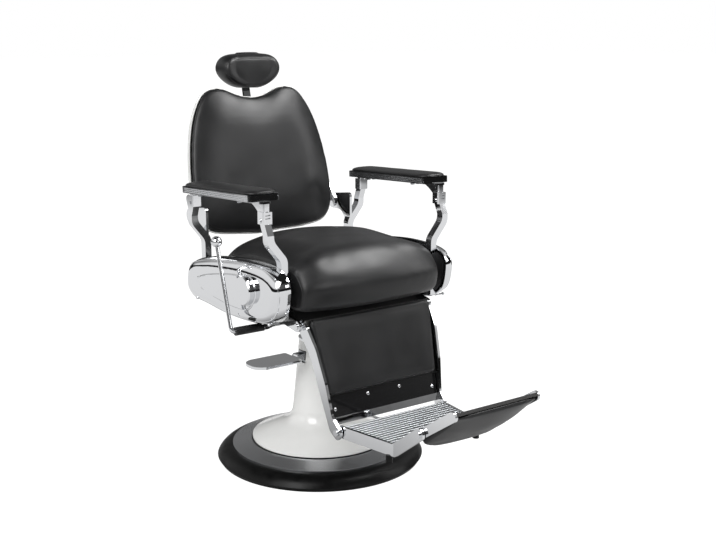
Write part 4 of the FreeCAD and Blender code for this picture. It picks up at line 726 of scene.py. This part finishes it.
def finish_tree(tree, geometry, finish):
    """Ends a tree in Realize Instances and Set Material."""
    real = add_node(tree, "GeometryNodeRealizeInstances", {"Geometry": geometry})
    coated = add_node(tree, "GeometryNodeSetMaterial", {"Geometry": real.outputs["Geometry"],
                                                        "Material": finish})
    add_node(tree, "NodeGroupOutput", {"Geometry": coated.outputs["Geometry"]})


def grown(name, points, edges, tree, keys, values, finish, turns=None):
    """Runs one tree over a mesh of points and gives the plain mesh that it makes."""
    mesh = bpy.data.meshes.new(name)
    mesh.from_pydata(points, edges, [])
    if turns:
        stored = mesh.attributes.new("turn", "FLOAT_VECTOR", "POINT")
        for datum, turn in zip(stored.data, turns):
            datum.vector = turn
    piece = bpy.data.objects.new(name, mesh)
    bpy.context.scene.collection.objects.link(piece)
    modifier = piece.modifiers.new(name, "NODES")
    modifier.node_group = tree
    for key, value in values.items():
        modifier[keys[key]] = value
    graph = bpy.context.evaluated_depsgraph_get()
    made = bpy.data.meshes.new_from_object(piece.evaluated_get(graph), depsgraph=graph)
    piece.modifiers.clear()
    piece.data = made
    made.name = name
    made.materials.clear()
    made.materials.append(finish)
    return piece


def fastener_tree(name, finish):
    """Domed head with its top at the point and facing +Z, over a shank, with a cross recess if that has a
    depth. Six sides make it a hexagon."""
    tree, keys, given = new_tree(name, {"Head radius": "Float", "Head height": "Float", "Sides": "Int",
                                        "Doming": "Float", "Recess width": "Float", "Recess depth": "Float",
                                        "Shank radius": "Float", "Shank length": "Float"})
    size = given.outputs

    def worked(kind, a, b):
        return add_node(tree, "ShaderNodeMath", {0: a, 1: b}, operation=kind).outputs["Value"]

    head = add_node(tree, "GeometryNodeMeshCylinder", {"Vertices": size["Sides"], "Side Segments": 6,
                                                       "Radius": size["Head radius"],
                                                       "Depth": size["Head height"]})
    place = add_node(tree, "GeometryNodeInputPosition").outputs["Position"]
    height = add_node(tree, "ShaderNodeSeparateXYZ", {"Vector": place}).outputs["Z"]
    share = worked("ADD", worked("DIVIDE", height, size["Head height"]), 0.5)
    cube = worked("MULTIPLY", worked("MULTIPLY", share, share), share)
    narrow = worked("SUBTRACT", 1.0, worked("MULTIPLY", cube, size["Doming"]))
    scale = add_node(tree, "ShaderNodeCombineXYZ", {"X": narrow, "Y": narrow, "Z": 1.0}).outputs["Vector"]
    domed = add_node(tree, "ShaderNodeVectorMath", {0: place, 1: scale}, operation="MULTIPLY")
    head = add_node(tree, "GeometryNodeSetPosition", {"Geometry": head.outputs["Mesh"],
                                                      "Position": domed.outputs["Vector"]})
    half = worked("MULTIPLY", size["Head height"], 0.5)
    bars = []
    long_side = worked("MULTIPLY", size["Head radius"], 1.15)
    deep = worked("MULTIPLY", size["Recess depth"], 2.0)
    for across, along in ((long_side, size["Recess width"]), (size["Recess width"], long_side)):
        extent = add_node(tree, "ShaderNodeCombineXYZ", {"X": across, "Y": along, "Z": deep})
        bar = add_node(tree, "GeometryNodeMeshCube", {"Size": extent.outputs["Vector"]})
        lift = add_node(tree, "ShaderNodeCombineXYZ", {"Z": half}).outputs["Vector"]
        bars.append(add_node(tree, "GeometryNodeTransform", {"Geometry": bar.outputs["Mesh"],
                                                             "Translation": lift}).outputs["Geometry"])
    cut = add_node(tree, "GeometryNodeMeshBoolean", {"Mesh 1": head.outputs["Geometry"], "Mesh 2": bars[0]},
                   operation="DIFFERENCE")
    cut = add_node(tree, "GeometryNodeMeshBoolean", {"Mesh 1": cut.outputs["Mesh"], "Mesh 2": bars[1]},
                   operation="DIFFERENCE")
    recessed = add_node(tree, "FunctionNodeCompare", {"A": size["Recess depth"], "B": 0.0},
                        data_type="FLOAT", operation="GREATER_THAN").outputs["Result"]
    top = add_node(tree, "GeometryNodeSwitch", {"Switch": recessed, "False": head.outputs["Geometry"],
                                                "True": cut.outputs["Mesh"]}, input_type="GEOMETRY")
    sunk = add_node(tree, "ShaderNodeCombineXYZ", {"Z": worked("MULTIPLY", half, -1.0)}).outputs["Vector"]
    top = add_node(tree, "GeometryNodeTransform", {"Geometry": top.outputs["Output"], "Translation": sunk})
    shank = add_node(tree, "GeometryNodeMeshCylinder", {"Vertices": 20, "Radius": size["Shank radius"],
                                                        "Depth": size["Shank length"]})
    down = worked("SUBTRACT", worked("MULTIPLY", size["Shank length"], -0.5),
                  worked("MULTIPLY", size["Head height"], 0.9))
    drop = add_node(tree, "ShaderNodeCombineXYZ", {"Z": down}).outputs["Vector"]
    shank = add_node(tree, "GeometryNodeTransform", {"Geometry": shank.outputs["Mesh"], "Translation": drop})
    unit = add_node(tree, "GeometryNodeJoinGeometry", {"Geometry": top.outputs["Geometry"]})
    tree.links.new(shank.outputs["Geometry"], unit.inputs["Geometry"])
    turn = add_node(tree, "GeometryNodeInputNamedAttribute", {"Name": "turn"}, data_type="FLOAT_VECTOR")
    turned = add_node(tree, "FunctionNodeEulerToRotation", {"Euler": turn.outputs["Attribute"]})
    spread = add_node(tree, "GeometryNodeInstanceOnPoints", {"Points": size["Geometry"],
                                                             "Instance": unit.outputs["Geometry"],
                                                             "Rotation": turned.outputs["Rotation"]})
    finish_tree(tree, spread.outputs["Instances"], finish)
    return tree, keys


def fasteners(name, node, body, tops, outwards, values, slot, spin=0.4):
    """Replaces one CAD group of fasteners, one for each top and outward direction."""
    finish = finishes[slot]
    tree, keys = fastener_tree(name + " tree", finish)
    turns = []
    for i, way in enumerate(outwards):
        turned = way.to_track_quat("Z", "Y") @ Matrix.Rotation(spin * (i + 1), 3, "Z").to_quaternion()
        turns.append(turned.to_euler())
    piece = grown(name, tops, [], tree, keys, values, finish, turns)
    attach(piece, body)
    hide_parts(node)


def cross_head(radius, height, doming, recess_width, recess_depth, shank_radius, shank_length):
    """Sizes of a round head with a cross recess."""
    return {"Head radius": radius, "Head height": height, "Sides": 28, "Doming": doming,
            "Recess width": recess_width, "Recess depth": recess_depth, "Shank radius": shank_radius,
            "Shank length": shank_length}


def hexagon_head(radius, height, shank_radius):
    """Sizes of a hexagon head with its top edge chamfered, on a stub that stays in its hole."""
    return {"Head radius": radius, "Head height": height, "Sides": 6, "Doming": 0.12, "Recess width": 1 * mm,
            "Recess depth": 0.0, "Shank radius": shank_radius, "Shank length": 0.2 * mm}


def sideways(parts, outwards):
    """Tops and directions of fasteners that lie along X, with heads that face outwards, or inwards at -1."""
    tops, directions = [], []
    for low, high, middle in parts:
        way = outwards if middle.x > 0 else -outwards
        tops.append(Vector((high.x if way > 0 else low.x, middle.y, middle.z)))
        directions.append(x_axis * way)
    return tops, directions


kick_head_height = 2.5 * mm
tops = [middle + calf_out * kick_head_height / 2 for _, _, middle in islands("kick_screws")]
fasteners("kick_screw_heads", "kick_screws", "legrest", tops, [calf_out] * len(tops),
          cross_head(5 * mm, kick_head_height, 0.45, 1.3 * mm, 1.3 * mm, 2 * mm, 1 * mm), "polished_chrome")

parts = islands("panel_screws")
panel_head_height = 5 * mm
shank_length = min(high.x - low.x for low, high, _ in parts) - panel_head_height
fasteners("panel_screw_heads", "panel_screws", "chair", *sideways(parts, 1),
          cross_head(5 * mm, panel_head_height, 0.4, 1.4 * mm, 1.6 * mm, 2.5 * mm, shank_length),
          "polished_chrome")

parts = islands("pump_bolts")
tops = [Vector((middle.x, middle.y, high.z)) for _, high, middle in parts]
low, high, _ = parts[0]
fasteners("pump_bolt_heads", "pump_bolts", "base", tops, [z_axis] * len(tops),
          hexagon_head((high.x - low.x) / 2, high.z - low.z, 3 * mm), "machined_steel")

parts = islands("frame_bolts")
low, high, _ = parts[-1]
fasteners("frame_bolt_heads", "frame_bolts", "chair", *sideways(parts, -1),
          hexagon_head((high.z - low.z) / 2, high.x - low.x, 4 * mm), "machined_steel")

arm_head_height = 5 * mm
tops = [middle - arm_up * arm_head_height / 2 for _, _, middle in islands("arm_bolts")]
fasteners("arm_bolt_heads", "arm_bolts", "chair", tops, [-arm_up] * len(tops),
          hexagon_head(7 * mm, arm_head_height, 3 * mm), "machined_steel")


def stitch_tree():
    """Short rounded stitches at one pitch along a path."""
    tree, keys, given = new_tree("stitches", {"Pitch": "Float", "Stitch length": "Float",
                                              "Thread radius": "Float"})
    size = given.outputs
    curve = add_node(tree, "GeometryNodeMeshToCurve", {"Mesh": size["Geometry"]})
    even = add_node(tree, "GeometryNodeResampleCurve", {"Curve": curve.outputs["Curve"],
                                                        "Length": size["Pitch"]}, mode="LENGTH")
    ball = add_node(tree, "GeometryNodeMeshUVSphere", {"Segments": 6, "Rings": 4, "Radius": 1.0})
    half = add_node(tree, "ShaderNodeMath", {0: size["Stitch length"], 1: 0.5}, operation="MULTIPLY")
    extent = add_node(tree, "ShaderNodeCombineXYZ", {"X": half.outputs["Value"], "Y": size["Thread radius"],
                                                     "Z": size["Thread radius"]})
    stitch = add_node(tree, "GeometryNodeTransform", {"Geometry": ball.outputs["Mesh"],
                                                      "Scale": extent.outputs["Vector"]})
    tangent = add_node(tree, "GeometryNodeInputTangent")
    turned = add_node(tree, "FunctionNodeAlignRotationToVector", {"Vector": tangent.outputs["Tangent"]},
                      axis="X")
    spread = add_node(tree, "GeometryNodeInstanceOnPoints", {"Points": even.outputs["Curve"],
                                                             "Instance": stitch.outputs["Geometry"],
                                                             "Rotation": turned.outputs["Rotation"]})
    smooth = add_node(tree, "GeometryNodeSetShadeSmooth", {"Geometry": spread.outputs["Instances"]})
    finish_tree(tree, smooth.outputs["Geometry"], sewing_thread)
    return tree, keys


seam_stitches, stitch_sizes = stitch_tree()


thread_stands = 0.1 * mm
longest_step = 12 * mm


def stitches(name, skin, seams, body, lowest=0.0):
    """Top stitching along seams and above a height: rays in a plane find the skin's points, and the tree sews
    over them, but not across a gap."""
    points, edges = [], []
    for seam in seams:
        hits = seam_hits(skin, *seam, count=400)
        first = len(points)
        points += [place + normal * thread_stands for place, normal in hits]
        for i in range(len(hits)):
            a, b = first + i, first + (i + 1) % len(hits)
            middle = (points[a] + points[b]) / 2
            if (points[a] - points[b]).length < longest_step and middle.z > lowest:
                edges.append((a, b))
    piece = grown(name, points, edges, seam_stitches, stitch_sizes,
                  {"Pitch": 5 * mm, "Stitch length": 3.6 * mm, "Thread radius": 0.55 * mm}, sewing_thread)
    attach(piece, body)


seat_stitch_inset = 7 * mm
seat_stitch_end = 8 * mm
back_stitch_depth = 2 * mm
stitches("seat_stitches", seat_skin, seat_seams(seat_welt_x - seat_stitch_inset), "chair",
         seat_floor + seat_stitch_end)
stitches("back_stitches", back_skin, [back_seam(back_stitch_depth)], "backrest")


# Studio

# distance over which the floor's painted reflection ramp runs
painted_reflection_reach = 10.0


def studio_floor():
    """Pale seamless floor: white to the eye, and it keeps the object's soft shadow. For reflections only it
    glows instead, a painted
    reflection: darker close round the object as a painted shadow, bright further out and dark far off as
    painted walls, so that the metal shows its shape."""
    made = bpy.data.materials.new("pale studio floor")
    made.use_nodes = True
    tree = made.node_tree
    tree.nodes.clear()
    paper = add_node(tree, "ShaderNodeBsdfDiffuse", {"Color": linear("#e6e6e6")})
    glow = add_node(tree, "ShaderNodeEmission", {"Color": linear("#ffffff"), "Strength": 1.3})
    rays = add_node(tree, "ShaderNodeLightPath")
    seen = add_node(tree, "ShaderNodeMath", {0: rays.outputs["Is Camera Ray"], 1: 0.72}, operation="MULTIPLY")
    lit = add_node(tree, "ShaderNodeMixShader", {0: seen.outputs["Value"], 1: paper.outputs["BSDF"],
                                                 2: glow.outputs["Emission"]})
    place = add_node(tree, "ShaderNodeTexCoord").outputs["Object"]
    away = add_node(tree, "ShaderNodeVectorMath", {0: place}, operation="LENGTH")
    share = add_node(tree, "ShaderNodeMath", {0: away.outputs["Value"], 1: painted_reflection_reach}, operation="DIVIDE")
    painted_reflection_ramp = add_node(tree, "ShaderNodeValToRGB", {"Fac": share.outputs["Value"]})
    # painted reflection for metal only: dark close round the object as a painted shadow, white further out,
    # dark far off as painted walls
    for position, colour in ((0.03, "#8c8c8c"), (0.08, "#f2f2f2"), (0.5, "#ffffff"), (0.62, "#343434")):
        stop = painted_reflection_ramp.color_ramp.elements.new(position)
        stop.color = linear(colour)
    painted_reflection_ramp.color_ramp.elements[0].color = linear("#5a5a5a")
    painted_reflection_ramp.color_ramp.elements[-1].color = linear("#1c1c1c")
    # painted reflection: the floor glows with this ramp for glossy rays only
    mirrored = add_node(tree, "ShaderNodeEmission", {"Color": painted_reflection_ramp.outputs["Color"], "Strength": 0.92})
    mixed = add_node(tree, "ShaderNodeMixShader", {0: rays.outputs["Is Glossy Ray"], 1: lit.outputs["Shader"],
                                                   2: mirrored.outputs["Emission"]})
    add_node(tree, "ShaderNodeOutputMaterial", {"Surface": mixed.outputs["Shader"]})
    return made


floor_mesh = bpy.data.meshes.new("studio_floor")
floor_half = 40.0
floor_corners = [(x * floor_half, y * floor_half, 0) for x, y in ((-1, -1), (1, -1), (1, 1), (-1, 1))]
floor_mesh.from_pydata(floor_corners, [], [(0, 1, 2, 3)])
floor = new_piece("studio_floor", floor_mesh, studio_floor())
floor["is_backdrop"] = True


def studio_world():
    """White to the eye and even light on the object; polished metal mirrors a room with dark parts."""
    world = bpy.data.worlds.new("studio")
    world.use_nodes = True
    tree = world.node_tree
    tree.nodes.clear()
    rays = add_node(tree, "ShaderNodeLightPath")
    direction = add_node(tree, "ShaderNodeTexCoord").outputs["Generated"]
    dim = add_node(tree, "ShaderNodeBackground", {"Color": linear("#ffffff"), "Strength": 0.5})
    white = add_node(tree, "ShaderNodeBackground", {"Color": linear("#ffffff"), "Strength": 1.0})

    def dark_zone(towards, start, end, most=1.0):
        """Share of darkness round one direction of the room."""
        facing = add_node(tree, "ShaderNodeVectorMath", {0: direction, 1: Vector(towards).normalized()},
                          operation="DOT_PRODUCT").outputs["Value"]
        return add_node(tree, "ShaderNodeMapRange", {"Value": facing, "From Min": start, "From Max": end,
                                                     "To Max": most},
                        interpolation_type="SMOOTHSTEP").outputs["Result"]

    darkness = dark_zone((-0.1, -0.95, 0.3), 0.55, 0.8, 0.9)
    for zone in (dark_zone((1.0, -0.15, 0.1), 0.86, 0.95), dark_zone((0.5, 0.8, 0.3), 0.66, 0.9, 0.75)):
        darker = add_node(tree, "ShaderNodeMath", {0: darkness, 1: zone}, operation="MAXIMUM")
        darkness = darker.outputs["Value"]
    height = add_node(tree, "ShaderNodeSeparateXYZ", {"Vector": direction}).outputs["Z"]
    walls = add_node(tree, "ShaderNodeValToRGB", {"Fac": height})
    for position, colour in ((0.08, "#202020"), (0.15, "#f0f0f0"), (0.58, "#f4f4f4"), (0.76, "#262626")):
        stop = walls.color_ramp.elements.new(position)
        stop.color = linear(colour)
    walls.color_ramp.elements[0].color = linear("#161616")
    walls.color_ramp.elements[-1].color = linear("#202020")
    room = add_node(tree, "ShaderNodeMix", {0: darkness, 6: walls.outputs["Color"], 7: linear("#1a1a1a")},
                    data_type="RGBA")
    mirrored = add_node(tree, "ShaderNodeBackground", {"Color": room.outputs[2], "Strength": 1.0})
    glossy = add_node(tree, "ShaderNodeMixShader", {0: rays.outputs["Is Glossy Ray"],
                                                    1: dim.outputs["Background"],
                                                    2: mirrored.outputs["Background"]})
    shown = add_node(tree, "ShaderNodeMixShader", {0: rays.outputs["Is Camera Ray"],
                                                   1: glossy.outputs["Shader"],
                                                   2: white.outputs["Background"]})
    add_node(tree, "ShaderNodeOutputWorld", {"Surface": shown.outputs["Shader"]})
    return world


bpy.context.scene.world = studio_world()


def softbox(name, place, aim, width, height, power):
    """Rectangular soft lamp at a place, turned towards its aim."""
    lamp = bpy.data.lights.new(name, "AREA")
    lamp.shape = "RECTANGLE"
    lamp.size = width
    lamp.size_y = height
    lamp.energy = power
    box = bpy.data.objects.new(name, lamp)
    bpy.context.scene.collection.objects.link(box)
    box.location = place
    box.rotation_euler = (Vector(aim) - Vector(place)).to_track_quat("-Z", "Y").to_euler()


softbox("key_softbox", (-2.4, -1.0, 2.4), (0, 0, 0.6), 1.6, 2.2, 70)
softbox("front_softbox", (0.4, -3.6, 1.9), (0, 0, 0.9), 1.6, 1.2, 22)
softbox("fill_softbox", (2.8, -1.6, 1.9), (0, 0, 0.6), 1.2, 1.8, 22)
softbox("top_softbox", (1.15, -0.75, 2.6), (0, -0.2, 0.6), 1.7, 0.9, 62)

camera_data = bpy.data.cameras.new("camera")
camera_data.lens = 57.58
camera_data.sensor_width = 36
camera_data.clip_start = 0.05
camera = bpy.data.objects.new("camera", camera_data)
bpy.context.scene.collection.objects.link(camera)
camera.location = (-1.880, -2.717, 1.279)
camera.rotation_euler = (radians(90 - 12.113), 0, radians(-36.678))
bpy.context.scene.camera = camera
bpy.context.scene.view_settings.view_transform = "Standard"

low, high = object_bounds()
